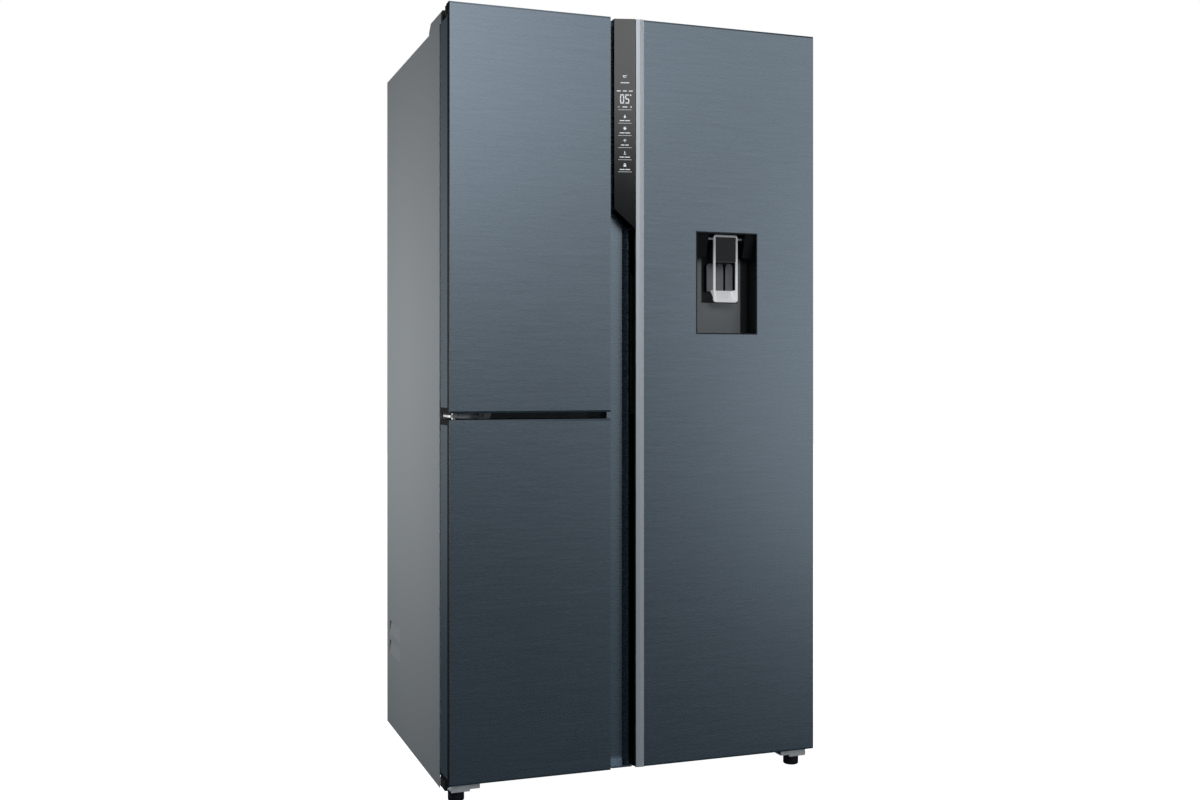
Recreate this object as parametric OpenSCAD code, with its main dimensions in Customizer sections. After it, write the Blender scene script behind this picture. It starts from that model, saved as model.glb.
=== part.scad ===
// Three-door side by side refrigerator: two doors on the left column, one tall
// door with a display strip, handle channel and water dispenser on the right.
// Modules work from the front left floor corner: x to the right, y from the
// front faces to the back, z up. place() moves that corner so that the origin
// is on the floor under the middle of the object.

/* [Overall] */
// Width across the cabinet and doors
overall_w = 905; // [820:1:1100]
// Depth from the door fronts to the back
overall_d = 726; // [600:1:880]
// Height from the floor to the door tops
overall_h = 1780; // [1480:1:2140]

/* [Doors] */
// Width of the two left doors
left_door_w = 380; // [340:1:400]
// Gap between the left doors and the right door
door_gap = 6; // [5:0.5:10]
// Thickness of a door without its gasket
door_t = 84; // [80:1:101]
// Thickness of the closed gasket
gasket_t = 10; // [8:0.5:12]
// Height of the door bottoms above the floor
floor_gap = 48; // [46:1:58]
// Height of the lower left door's top edge
split_z = 856; // [713:1:1000]
// Gap between the two left doors
split_gap = 15; // [14:0.5:18]
// Height of the hinge zone above the cabinet top
hinge_zone = 28; // [26:1:34]

/* [Cabinet] */
// Thickness of the insulated side walls
side_wall = 46; // [40:1:56]
// Thickness of the insulated top
top_wall = 50; // [42:1:60]
// Thickness of the insulated back
back_wall = 58; // [50:1:70]
// Thickness of the upright wall between the columns
mullion_w = 40; // [36:1:48]
// Thickness of the wall between the left compartments
divider_h = 50; // [46:1:60]
// Depth of the machine compartment
machine_depth = 224; // [200:1:268]
// Height of the machine compartment's ceiling
machine_top = 330; // [290:1:396]
// Depth behind the cabinet front where shelves and drawers begin
shelf_setback = 121; // [118:1:145]

/* [Handle channel] */
// Width of the channel beside the left doors
channel_w = 56; // [50:1:67]
// Depth of the channel behind the door fronts
channel_d = 46; // [40:1:50]
// Width of the bright edge trim
trim_w = 19; // [14:1:23]
// Height of the display strip, without its slanted end
display_h = 438; // [365:1:525]
// Height of the grip insert
grip_h = 336; // [280:1:400]

/* [Dispenser] */
// Width of the dispenser recess
recess_w = 160; // [145:1:192]
// Height of the dispenser recess
recess_h = 242; // [225:1:290]
// Depth of the dispenser recess
recess_d = 50; // [44:1:54]
// Distance from the door tops to the top of the recess
recess_drop = 485; // [404:1:582]
// Width of the lever frame
lever_w = 63; // [52:1:76]

/* [Hidden] */
$fn = 48;

// Sheet and skin thicknesses
sheet = 1.2;
skin = 2;
hemmed_flange = 2;
cap_h = 12;
edge_band = 10;
band_y0 = 3;
bevel_w = 4.5;
bevel_side = 1;
band_y1 = 18;

// Running clearances
pin_play = 0.08;
slide_play = 1;

// Colours
paint_blue = [0.36, 0.41, 0.46];
paint_grey = [0.45, 0.46, 0.48];
black = [0.06, 0.06, 0.07];
white = [0.93, 0.94, 0.95];
silver = [0.74, 0.76, 0.79];
zinc = [0.70, 0.71, 0.72];
clear = [0.75, 0.85, 0.90];
foam = [0.93, 0.86, 0.66];

// Cabinet planes
cab_front = door_t + gasket_t;
bead_h = 2;
cab_back = overall_d - bead_h;
cab_bottom = 20;
cab_top = overall_h - hinge_zone;
foam_bottom = 50;
lip_w = 8;
machine_front = cab_back - machine_depth;

// Compartments, measured to the foam: [x0, x1, z0, z1]
mullion_x = left_door_w + door_gap / 2;
divider_z = split_z + split_gap / 2;
room_z0 = 104;
room_z1 = cab_top - top_wall;
room_back = cab_back - back_wall;
step_wall = 42;
step_y = machine_front - step_wall;
step_z = machine_top + step_wall;
fridge_room = [mullion_x + mullion_w / 2, overall_w - side_wall, room_z0, room_z1];
freezer_room = [side_wall, mullion_x - mullion_w / 2, divider_z + divider_h / 2, room_z1];
lower_room = [side_wall, mullion_x - mullion_w / 2, room_z0, divider_z - divider_h / 2];

// Doors
left_z = [[split_z + split_gap, overall_h], [floor_gap, split_z]];
right_x0 = left_door_w + door_gap;
hinge_x = 20;
hinge_y = 42;
pin_r = 4.5;
pocket_w = 50;
pocket_r = 24;
pocket_wall = 2.5;
pocket_z = cab_top - 1.5;
gasket_w = 14;
gasket_hinge_inset = 24;
gasket_edge_inset = 3;
dyke_w = 22;
dyke_h = 34;
dyke_hinge_gap = 6;
dyke_free_gap = 12;
grip_pocket_w = 20;
grip_y0 = 14;
grip_y1 = 54;

// Right door handle zone
trim_x0 = right_x0 + channel_w;
trim_x1 = trim_x0 + trim_w;
trim_t = 2.5;
trim_facet = 1.6;
trim_back = 14;
slot_back = channel_d + 20;
slot_x1 = trim_x1 + 4;
lip_x1 = trim_x0 - 2;
channel_lip = 4;
channel_lip_h = 1;
dip_w = 12;
dip_d = 7;

// Shelves and drawers
shelf_y = cab_front + shelf_setback;
glass_t = 5;
trim_depth = 8;
trim_below = 8;
trim_above = 3;
drawer_wall = 2.5;
drawer_hinge_inset = 26;
drawer_free_inset = 8;
bin_depth = 100;
bin_wall = 2.5;

module place() {
    translate([-overall_w / 2, -overall_d / 2, 0])
        children();
}

// A box between two values on each axis.
module slab(x, y, z) {
    translate([x[0], y[0], z[0]])
        cube([x[1] - x[0], y[1] - y[0], z[1] - z[0]]);
}

// A rectangular tube along y: the outer box less a box that is inset by t on its four sides.
module ring_y(x, y, z, t) {
    difference() {
        slab(x, y, z);
        slab([x[0] + t, x[1] - t], [y[0] - 1, y[1] + 1], [z[0] + t, z[1] - t]);
    }
}

// An open-topped box with walls of thickness t.
module tub(x, y, z, t) {
    difference() {
        slab(x, y, z);
        slab([x[0] + t, x[1] - t], [y[0] + t, y[1] - t], [z[0] + t, z[1] + 1]);
    }
}

// A profile given in the y-z plane, extruded along x.
module along_x(x0, x1) {
    translate([x0, 0, 0])
        rotate([90, 0, 90])
            linear_extrude(x1 - x0)
                children();
}

module upright(x, y, z0, z1, r) {
    translate([x, y, z0])
        cylinder(h = z1 - z0, r = r);
}

module across(x0, x1, y, z, r) {
    translate([x0, y, z])
        rotate([0, 90, 0])
            cylinder(h = x1 - x0, r = r);
}

module flat_rounded(w, h, r) {
    translate([r, 0])
        square([w - 2 * r, h]);
    translate([0, r])
        square([w, h - 2 * r]);
    for (x = [r, w - r], y = [r, h - r])
        translate([x, y])
            circle(r);
}

// Left and right copies about the middle of the cabinet.
module both_sides() {
    children();
    translate([overall_w, 0, 0])
        mirror([1, 0, 0])
            children();
}

// ---------------------------------------------------------------- cabinet

vent_len = 139;
vent_h = 36;
vent_depth = 5;
vent_slot = 4;
vent_rear_gap = 33;
vent_z = [machine_top - 66, machine_top - 118];

module vent_opening(z) {
    slab([-1, sheet + 1], [cab_back - vent_rear_gap - vent_len, cab_back - vent_rear_gap], [z, z + vent_h]);
}

// The pressed scoop behind a side vent: it leans in towards the top, where its slot is, and its ends are
// closed.
module vent_scoop(z) {
    top = vent_h - vent_slot;
    translate([0, cab_back - vent_rear_gap, z])
        rotate([90, 0, 0]) {
            linear_extrude(vent_len)
                polygon([[0, 0], [sheet, 0], [vent_depth + sheet, top], [vent_depth, top]]);
            for (end = [0, vent_len - sheet])
                translate([0, 0, end])
                    linear_extrude(sheet)
                        polygon([[0, 0], [sheet, 0], [vent_depth + sheet, top], [0, top]]);
        }
}

module shell_side() {
    difference() {
        slab([0, sheet], [cab_front, cab_back], [cab_bottom, cab_top - sheet]);
        for (z = vent_z)
            vent_opening(z);
    }
    for (z = vent_z)
        vent_scoop(z);
    slab([sheet, side_wall - lip_w], [cab_front, cab_front + hemmed_flange],
        [foam_bottom - sheet, cab_top - sheet]);
}

module cabinet_shell() color(paint_grey) {
    both_sides()
        shell_side();
    slab([0, overall_w], [cab_front, cab_back], [cab_top - sheet, cab_top]);
    slab([side_wall - lip_w, overall_w - side_wall + lip_w], [cab_front, cab_front + hemmed_flange],
        [room_z1 + lip_w, cab_top - sheet]);
}

module rear_panel() color(silver) {
    slab([sheet, overall_w - sheet], [cab_back - sheet, cab_back], [machine_top + sheet, cab_top - sheet]);
    beads = 4;
    bead_w = 26;
    margin = 90;
    pitch = (overall_w - 2 * margin - bead_w) / (beads - 1);
    for (i = [0 : beads - 1])
        slab([margin + i * pitch, margin + i * pitch + bead_w], [cab_back, overall_d],
            [machine_top + 70, cab_top - 90]);
}

// One bent sheet: front face, floor, machine compartment front wall and ceiling.
module bottom_pan() color(zinc) {
    slab([side_wall - lip_w, overall_w - side_wall + lip_w], [cab_front, cab_front + hemmed_flange],
        [foam_bottom - sheet, room_z0 - lip_w]);
    slab([sheet, overall_w - sheet], [cab_front + hemmed_flange, machine_front],
        [foam_bottom - sheet, foam_bottom]);
    slab([sheet, overall_w - sheet], [machine_front - sheet, machine_front], [foam_bottom, machine_top]);
    slab([sheet, overall_w - sheet], [machine_front - sheet, cab_back], [machine_top, machine_top + sheet]);
}

base_z = 30;
base_t = 2;
roller_r = 20;
roller_w = 22;
roller_x = 37;
roller_y = cab_back - 46;
roller_axle_r = 4;
ear_t = 2.5;
ear_gap = 0.75;

module roller_ears() {
    for (x = [roller_x - ear_gap - ear_t, roller_x + roller_w + ear_gap])
        difference() {
            slab([x, x + ear_t], [roller_y - 13, roller_y + 13], [roller_r - 9, base_z]);
            across(x - 1, x + ear_t + 1, roller_y, roller_r, roller_axle_r + pin_play);
        }
}

module compressor_base() color(zinc) {
    difference() {
        slab([sheet, overall_w - sheet], [machine_front + 2, cab_back - sheet - 2],
            [base_z, base_z + base_t]);
        both_sides()
            slab([roller_x - ear_gap, roller_x + roller_w + ear_gap], [roller_y - 22, roller_y + 22],
                [base_z - 1, base_z + base_t + 1]);
    }
    slab([sheet, overall_w - sheet], [machine_front + 2, machine_front + 4], [base_z + base_t, base_z + 24]);
    both_sides()
        slab([sheet, sheet + 2], [machine_front + 4, cab_back - sheet - 2], [base_z + base_t, base_z + 24]);
    both_sides()
        roller_ears();
}

// The side profile of a compartment, in the y-z plane. stepped is true where it stands over the machine
// compartment. t moves every wall inwards.
module room_profile(z0, z1, stepped, t, front) {
    if (stepped)
        polygon([[front, z0 + t], [step_y - t, z0 + t], [step_y - t, step_z + t],
            [room_back - t, step_z + t], [room_back - t, z1 - t], [front, z1 - t]]);
    else
        polygon([[front, z0 + t], [room_back - t, z0 + t], [room_back - t, z1 - t], [front, z1 - t]]);
}

module room_space(room, stepped, t, front) {
    along_x(room[0] + t, room[1] - t)
        room_profile(room[2], room[3], stepped, t, front);
}

module insulation_foam() color(foam) {
    difference() {
        slab([sheet, overall_w - sheet], [cab_front + hemmed_flange, cab_back - sheet],
            [foam_bottom, cab_top - sheet]);
        slab([0, overall_w], [machine_front - sheet, overall_d], [0, machine_top + sheet]);
        room_space(fridge_room, true, 0, 0);
        room_space(lower_room, true, 0, 0);
        room_space(freezer_room, false, 0, 0);
        both_sides()
            slab([0, vent_depth + 3], [cab_back - vent_rear_gap - vent_len - 1, cab_back - vent_rear_gap + 1],
                [vent_z[1], vent_z[0] + vent_h]);
    }
}

ledge_w = 7;
ledge_h = 6;

// Moulded ledges on both walls of a compartment that carry a shelf.
module shelf_ledges(room, z) {
    y = [shelf_y + trim_depth + 2, room_back - back_gap(room) - 4];
    slab([room[0] + skin, room[0] + skin + ledge_w], y, [z - ledge_h, z]);
    slab([room[1] - skin - ledge_w, room[1] - skin], y, [z - ledge_h, z]);
}

// The space that a rear duct or evaporator cover takes from a compartment.
evaporator_gap = 74;
duct_t = 22;
cover_t = 3;
cover_bulge = 8;
function back_gap(room) =
    room == freezer_room ? evaporator_gap + cover_t + cover_bulge : (room == fridge_room ? duct_t + skin : skin);

module liner(room, stepped, ledges) color(white) {
    difference() {
        union() {
            room_space(room, stepped, 0, cab_front);
            slab([room[0] - lip_w, room[1] + lip_w], [cab_front, cab_front + skin],
                [room[2] - lip_w, room[3] + lip_w]);
        }
        room_space(room, stepped, skin, cab_front - 1);
    }
    for (z = ledges)
        shelf_ledges(room, z);
}

// Shelf heights: the undersides of the glass
fridge_floor_shelf = step_z + skin + 2;
crisper_h = 176;
crisper_shelf = fridge_floor_shelf + glass_t + trim_above + crisper_h + 12;
open_shelves = 3;
open_pitch = (room_z1 - crisper_shelf) / (open_shelves + 1);
fridge_shelf_z = [for (i = [0 : open_shelves]) crisper_shelf + i * open_pitch];
freezer_shelves = 3;
freezer_pitch = (room_z1 - freezer_room[2]) / (freezer_shelves + 1);
freezer_shelf_z = [for (i = [1 : freezer_shelves]) freezer_room[2] + i * freezer_pitch];
lower_shelf_z = [fridge_floor_shelf, fridge_floor_shelf + (lower_room[3] - fridge_floor_shelf) / 2];

module fridge_liner() {
    liner(fridge_room, true, fridge_shelf_z);
}

module freezer_liner() {
    liner(freezer_room, false, freezer_shelf_z);
}

module lower_liner() {
    liner(lower_room, true, [lower_shelf_z[1]]);
}

module divider_strips() color(paint_grey) {
    y = [cab_front, cab_front + hemmed_flange];
    x = [freezer_room[1] + lip_w, fridge_room[0] - lip_w];
    slab(x, y, [room_z0 - lip_w, room_z1 + lip_w]);
    slab([side_wall - lip_w, x[0]], y, [lower_room[3] + lip_w, freezer_room[2] - lip_w]);
}

// ------------------------------------------------------------ compartments

cover_y = room_back - evaporator_gap;

module evaporator_cover() color(white) {
    x = [freezer_room[0] + skin, freezer_room[1] - skin];
    vent_rows = 4;
    vents = 5;
    vent_w = 34;
    pitch = (x[1] - x[0] - 40) / vents;
    difference() {
        union() {
            slab(x, [cover_y - cover_t, cover_y], [freezer_room[2] + skin, room_z1 - skin]);
            slab([x[0] + 60, x[1] - 60], [cover_y - cover_t - cover_bulge, cover_y - 1],
                [freezer_room[2] + 60, room_z1 - 60]);
        }
        for (row = [0 : vent_rows - 1], i = [0 : vents - 1])
            slab([x[0] + 20 + (i + 0.5) * pitch - vent_w / 2, x[0] + 20 + (i + 0.5) * pitch + vent_w / 2],
                [cover_y - 20, cover_y + 1],
                [freezer_shelf_z[0] + (row - 0.3) * freezer_pitch,
                    freezer_shelf_z[0] + (row - 0.3) * freezer_pitch + 9]);
    }
}

fins = 22;
fin_t = 0.8;
evap_z = [freezer_room[2] + 50, freezer_room[2] + 290];
evap_x = [freezer_room[0] + 24, freezer_room[1] - 24];
evap_y = [cover_y + 8, cover_y + 58];
evap_tube_r = 4;
evap_rows = 6;

module evaporator() color(silver) {
    fin_pitch = (evap_x[1] - evap_x[0] - fin_t) / (fins - 1);
    row_pitch = (evap_z[1] - evap_z[0]) / evap_rows;
    for (i = [0 : fins - 1])
        slab([evap_x[0] + i * fin_pitch, evap_x[0] + i * fin_pitch + fin_t], evap_y, evap_z);
    for (row = [0 : evap_rows - 1], y = [evap_y[0] + 13, evap_y[1] - 13])
        across(evap_x[0] - 12, evap_x[1] + 12, y, evap_z[0] + (row + 0.5) * row_pitch, evap_tube_r);
    for (row = [0 : evap_rows - 1], x = [evap_x[0] - 12, evap_x[1] + 12])
        translate([x, 0, evap_z[0] + (row + 0.5) * row_pitch])
            slab([-evap_tube_r, evap_tube_r], [evap_y[0] + 13, evap_y[1] - 13], [-evap_tube_r, evap_tube_r]);
    for (x = [evap_x[0] - 13, evap_x[1] + 11])
        slab([x, x + 2], [evap_y[0], room_back - skin], [evap_z[0] + 6, evap_z[1] - 6]);
}

fan_hub_r = 18;
fan_blades = 7;

// A small axial fan: a hub with pitched blades, its axis along z and its middle at the origin.
module fan_wheel(r, hub_h) {
    difference() {
        cylinder(h = hub_h, r = fan_hub_r, center = true);
        cylinder(h = hub_h + 2, r = fan_shaft_r + pin_play, center = true);
    }
    difference() {
        for (i = [0 : fan_blades - 1])
            rotate([0, 0, i * 360 / fan_blades])
                translate([(r + fan_hub_r - 1) / 2, 0, 0])
                    rotate([32, 0, 0])
                        cube([r - fan_hub_r + 1, (r - 4) * 0.5, 1.6], center = true);
        cylinder(h = hub_h + 40, r = fan_hub_r - 0.5, center = true);
    }
}

fan_shaft_r = 3;
evap_fan_r = 48;
evap_fan_z = evap_z[1] + 90;
evap_fan_y = cover_y + 34;

module evaporator_fan() color(black) {
    translate([(freezer_room[0] + freezer_room[1]) / 2, evap_fan_y, evap_fan_z])
        rotate([90, 0, 0])
            fan_wheel(evap_fan_r, 14);
}

module fridge_air_duct() color(white) {
    y = room_back - skin - duct_t;
    mid = (fridge_room[0] + fridge_room[1]) / 2;
    duct_w = 190;
    difference() {
        slab([mid - duct_w / 2, mid + duct_w / 2], [y, room_back - skin],
            [fridge_shelf_z[0] + 40, room_z1 - 30]);
        slab([mid - duct_w / 2 + 3, mid + duct_w / 2 - 3], [y + 3, room_back],
            [fridge_shelf_z[0] + 43, room_z1 - 33]);
        for (z = fridge_shelf_z, side = [-1, 1], k = [0 : 2])
            translate([mid + side * 55, 0, z + open_pitch * 0.72 + k * 10])
                slab([-24, 24], [y - 1, y + 4], [0, 4.5]);
    }
}

lamp_t = 7;

module lamps() color([0.98, 0.98, 0.95]) {
    for (room = [fridge_room, freezer_room])
        slab([(room[0] + room[1]) / 2 - 70, (room[0] + room[1]) / 2 + 70], [shelf_y + 6, shelf_y + 62],
            [room[3] - skin - lamp_t, room[3] - skin]);
    slab([(lower_room[0] + lower_room[1]) / 2 - 55, (lower_room[0] + lower_room[1]) / 2 + 55],
        [shelf_y + 6, shelf_y + 46], [lower_room[3] - skin - lamp_t, lower_room[3] - skin]);
}

function shelf_x(room) = [room[0] + skin + slide_play, room[1] - skin - slide_play];
function shelf_back(room) = room_back - back_gap(room) - 6;

module shelf_glass(room, z) {
    x = shelf_x(room);
    slab(x, [shelf_y + trim_depth, shelf_back(room)], [z, z + glass_t]);
}

module shelf_trim(room, z) {
    x = shelf_x(room);
    slab([x[0] + 1, x[1] - 1], [shelf_y, shelf_y + trim_depth], [z - trim_below, z + glass_t + trim_above]);
}

fridge_shelves = [fridge_floor_shelf, each fridge_shelf_z];

module glass_shelves() color(clear) {
    for (z = fridge_shelves)
        shelf_glass(fridge_room, z);
    for (z = freezer_shelf_z)
        shelf_glass(freezer_room, z);
    for (z = lower_shelf_z)
        shelf_glass(lower_room, z);
}

module shelf_trims() color(silver) {
    for (z = fridge_shelves)
        shelf_trim(fridge_room, z);
    for (z = freezer_shelf_z)
        shelf_trim(freezer_room, z);
    for (z = lower_shelf_z)
        shelf_trim(lower_room, z);
}

// A pull-out drawer: a tub with a taller front, a finger grip and a rim.
module drawer(x, y, z) {
    front_t = 9;
    rim = 6;
    difference() {
        union() {
            tub(x, [y[0] + front_t, y[1]], [z[0], z[1] - 14], drawer_wall);
            slab(x, [y[0], y[0] + front_t], z);
        }
        across((x[0] + x[1]) / 2 - 60, (x[0] + x[1]) / 2 + 60, y[0] - 3, z[1] - 22, 9);
    }
    slab([x[0] + 20, x[1] - 20], [y[1] - rim, y[1]], [z[1] - 18, z[1] - 10]);
}

drawer_gap = 0.3;

function right_drawer_x() = [fridge_room[0] + skin + drawer_free_inset,
    fridge_room[1] - skin - drawer_hinge_inset];
function left_drawer_x() = [side_wall + skin + drawer_hinge_inset, lower_room[1] - skin - drawer_free_inset];

module upper_crisper() color(clear) {
    z = fridge_floor_shelf + glass_t + trim_above + drawer_gap;
    drawer(right_drawer_x(), [shelf_y, shelf_back(fridge_room) - 20], [z, z + crisper_h - drawer_gap]);
}

module lower_crisper() color(clear) {
    drawer(right_drawer_x(), [shelf_y, step_y - skin - 6],
        [room_z0 + skin + drawer_gap, fridge_floor_shelf - trim_below - 6]);
}

module freezer_drawer() color(clear) {
    drawer(left_drawer_x(), [shelf_y, shelf_back(freezer_room) - 16],
        [freezer_room[2] + skin + drawer_gap, freezer_shelf_z[0] - trim_below - 6]);
}

module lower_drawer() color(clear) {
    drawer(left_drawer_x(), [shelf_y, step_y - skin - 6],
        [room_z0 + skin + drawer_gap, fridge_floor_shelf - trim_below - 6]);
}

// ------------------------------------------------------ machine compartment

machine_mid = (machine_front + cab_back) / 2;
deck = base_z + base_t;
compressor_x = overall_w - 170;
compressor_r = 74;
grommet_h = 12;

module compressor() color(black) {
    z0 = deck + grommet_h;
    translate([compressor_x, machine_mid, z0])
        rotate_extrude()
            polygon([[0, 4], [compressor_r - 10, 4], [compressor_r, 16], [compressor_r, 74],
                [compressor_r + 5, 76],
                [compressor_r + 5, 84], [compressor_r, 86], [compressor_r, 128], [compressor_r - 14, 152],
                [compressor_r - 40, 164], [0, 168]]);
    difference() {
        slab([compressor_x - 98, compressor_x + 98], [machine_mid - 60, machine_mid + 60], [z0, z0 + 4]);
        for (sx = [-1, 1], sy = [-1, 1])
            upright(compressor_x + sx * 86, machine_mid + sy * 46, z0 - 1, z0 + 5, 6);
    }
    for (sx = [-1, 1], sy = [-1, 1])
        upright(compressor_x + sx * 86, machine_mid + sy * 46, deck, z0 + 9, 5.5);
    slab([compressor_x - compressor_r - 34, compressor_x - compressor_r + 3],
        [machine_mid - 26, machine_mid + 26], [z0 + 44, z0 + 100]);
}

condenser_x = [70, 356];
condenser_tube_r = 3;
condenser_rows = 6;
condenser_cols = 3;
condenser_z0 = 84;
condenser_pitch = 24;
condenser_col_pitch = 44;

// Straight tube passes joined by half-round return bends, in three flat coils, held by two comb plates.
module condenser() color(black) {
    for (col = [0 : condenser_cols - 1]) {
        y = machine_mid + (col - 1) * condenser_col_pitch;
        for (row = [0 : condenser_rows - 1])
            across(condenser_x[0], condenser_x[1], y, condenser_z0 + row * condenser_pitch, condenser_tube_r);
        for (row = [0 : condenser_rows - 2])
            translate([row % 2 == 0 ? condenser_x[1] : condenser_x[0], y,
                condenser_z0 + (row + 0.5) * condenser_pitch])
                rotate([90, 0, 0])
                    rotate([0, 0, row % 2 == 0 ? -90 : 90])
                        rotate_extrude(angle = 180)
                            translate([condenser_pitch / 2, 0])
                                circle(condenser_tube_r);
    }
    for (x = [condenser_x[0] + 40, condenser_x[1] - 40])
        slab([x, x + 2], [machine_mid - condenser_col_pitch - 12, machine_mid + condenser_col_pitch + 12],
            [deck, condenser_z0 + (condenser_rows - 1) * condenser_pitch + 10]);
}

fan_x = 430;
fan_z = 150;
fan_r = 66;
fan_frame_t = 3;

// The condenser fan's plate, spider, motor and shaft.
module condenser_fan_mount() {
    difference() {
        slab([fan_x, fan_x + fan_frame_t], [machine_front + 8, cab_back - sheet - 8],
            [deck, machine_top - 20]);
        across(fan_x - 1, fan_x + fan_frame_t + 1, machine_mid, fan_z, fan_r + 5);
    }
    for (a = [0, 90])
        translate([fan_x, machine_mid, fan_z])
            rotate([a + 45, 0, 0])
                slab([-30, -26], [-fan_r - 12, fan_r + 12], [-5, 5]);
    for (a = [0 : 90 : 270])
        translate([fan_x, machine_mid, fan_z])
            rotate([a + 45, 0, 0])
                slab([-30, 0], [fan_r + 7, fan_r + 12], [-5, 5]);
    across(fan_x - 58, fan_x - 26, machine_mid, fan_z, 24);
    across(fan_x - 27, fan_x + 12, machine_mid, fan_z, fan_shaft_r);
}

// The evaporator fan's motor on a cross bar behind the cover.
module evaporator_fan_mount() {
    translate([(freezer_room[0] + freezer_room[1]) / 2, 0, evap_fan_z])
        rotate([-90, 0, 0]) {
            translate([0, 0, evap_fan_y - 12])
                cylinder(h = 22, r = fan_shaft_r);
            translate([0, 0, evap_fan_y + 9])
                cylinder(h = room_back - skin - evap_fan_y - 9, r = 17);
        }
}

module fan_mounts() color(black) {
    condenser_fan_mount();
    evaporator_fan_mount();
}

module condenser_fan() color(silver) {
    translate([fan_x + 1, machine_mid, fan_z])
        rotate([0, 90, 0])
            fan_wheel(fan_r, 16);
}

module drain_pan() color(black) {
    tub([condenser_x[0] + 44, condenser_x[1] - 42], [machine_front + 24, cab_back - sheet - 24],
        [deck, deck + 28], 2);
}

cover_z0 = 36;
gland_x = 610;
gland_z = 86;
gland_r = 8;

module machine_cover() color(zinc) {
    slot_z0 = 110;
    slot_pitch = 20;
    slot_h = 7;
    slots = floor((machine_top - slot_z0 - 2 * slot_pitch) / slot_pitch);
    fields = [[70, 250], [300, 400], [690, 830]];
    difference() {
        slab([sheet, overall_w - sheet], [cab_back - sheet, cab_back], [cover_z0, machine_top]);
        for (f = fields, i = [0 : slots - 1])
            slab([f[0] * overall_w / 905, f[1] * overall_w / 905], [cab_back - sheet - 1, cab_back + 1],
                [slot_z0 + i * slot_pitch, slot_z0 + i * slot_pitch + slot_h]);
        translate([gland_x, cab_back + 1, gland_z])
            rotate([90, 0, 0])
                cylinder(h = sheet + 2, r = gland_r + 0.1);
    }
    for (f = fields, i = [0 : slots - 1])
        slab([f[0] * overall_w / 905, f[1] * overall_w / 905], [cab_back, overall_d],
            [slot_z0 + i * slot_pitch + slot_h, slot_z0 + i * slot_pitch + slot_h + 2]);
}

module cord_gland() color(black) {
    translate([gland_x, cab_back, gland_z])
        rotate([90, 0, 0])
            difference() {
                union() {
                    translate([0, 0, sheet])
                        cylinder(h = 3, r = gland_r + 3);
                    cylinder(h = sheet, r = gland_r);
                    translate([0, 0, -bead_h])
                        cylinder(h = bead_h, r = gland_r + 3);
                }
                translate([0, 0, -bead_h - 1])
                    cylinder(h = 12, r = 4.5);
            }
}

module control_box() color(white) {
    x = [470, 590];
    y = [machine_front + 30, machine_front + 150];
    z = [machine_top - 64, machine_top];
    difference() {
        slab(x, y, z);
        slab([x[0] + 2, x[1] - 2], [y[0] + 2, y[1] - 2], [z[0] + 2, z[1] - 2]);
    }
    slab([x[0] + 8, x[1] - 8], [y[0] + 8, y[1] - 8], [z[0] + 20, z[0] + 21.6]);
    for (i = [0 : 3])
        slab([x[0] + 20 + i * 22, x[0] + 32 + i * 22], [y[0] + 24, y[0] + 60], [z[0] + 21.6, z[0] + 34]);
}

// ----------------------------------------------------------------- hinges

plate_t = 3;
eye_r = 12;
top_pin_len = 20;
screw_r = 4;

module top_hinge() {
    difference() {
        union() {
            slab([14, 100], [cab_front + 6, cab_front + 110], [cab_top, cab_top + plate_t]);
            slab(neck_x, [hinge_y, cab_front + 7], [cab_top, cab_top + plate_t]);
            upright(hinge_x, hinge_y, cab_top, cab_top + plate_t, eye_r);
        }
        for (x = [34, 80], y = [cab_front + 30, cab_front + 90])
            upright(x, y, cab_top - 1, cab_top + plate_t + 1, 2.6);
    }
    upright(hinge_x, hinge_y, cab_top - top_pin_len, cab_top, pin_r);
    for (x = [34, 80], y = [cab_front + 30, cab_front + 90])
        upright(x, y, cab_top + plate_t, cab_top + plate_t + 3, 5);
}

module top_hinges() color(zinc) {
    both_sides()
        top_hinge();
}

cover_x0 = 3;
nose_y = 76;
nose_r = 19;
neck_x = [hinge_x - 1, hinge_x + 17];
nose_x1 = pocket_w - 4;
cover_wide_y = cab_front + 3;
cover_x1 = 108;
cover_y1 = cab_front + 124;
cover_slope = 26;

module cover_outline(t) {
    polygon([[cover_x0 + t, nose_y + t], [nose_x1 - t, nose_y + t], [nose_x1 - t, cover_wide_y + t],
        [cover_x1 - t, cover_wide_y + t], [cover_x1 - t, cover_y1 - t], [cover_x0 + t, cover_y1 - t]]);
}

module hinge_cover() {
    difference() {
        translate([0, 0, cab_top])
            linear_extrude(hinge_zone - 1)
                cover_outline(0);
        translate([0, 0, cab_top - 1])
            linear_extrude(hinge_zone - 2)
                cover_outline(2);
        slab(neck_x, [nose_y - 1, nose_y + 4], [cab_top - 1, cab_top + plate_t]);
        along_x(cover_x0 - 1, cover_x1 + 1)
            polygon([[cover_y1 - cover_slope + 6, cab_top + hinge_zone], [cover_y1 + 1, cab_top + hinge_zone],
                [cover_y1 + 1, cab_top + 8]]);
    }
    upright(hinge_x, hinge_y, cab_top + plate_t, cab_top + hinge_zone - 1, nose_r);
    slab([neck_x[0] + 1, neck_x[1] - 1], [hinge_y, nose_y + 1],
        [cab_top + plate_t, cab_top + hinge_zone - 1]);
}

module hinge_covers() color(paint_grey) {
    both_sides()
        hinge_cover();
}

mid_hinge_z = divider_z;
mid_hinge_t = 5;
mid_pin_len = 16;

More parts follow.
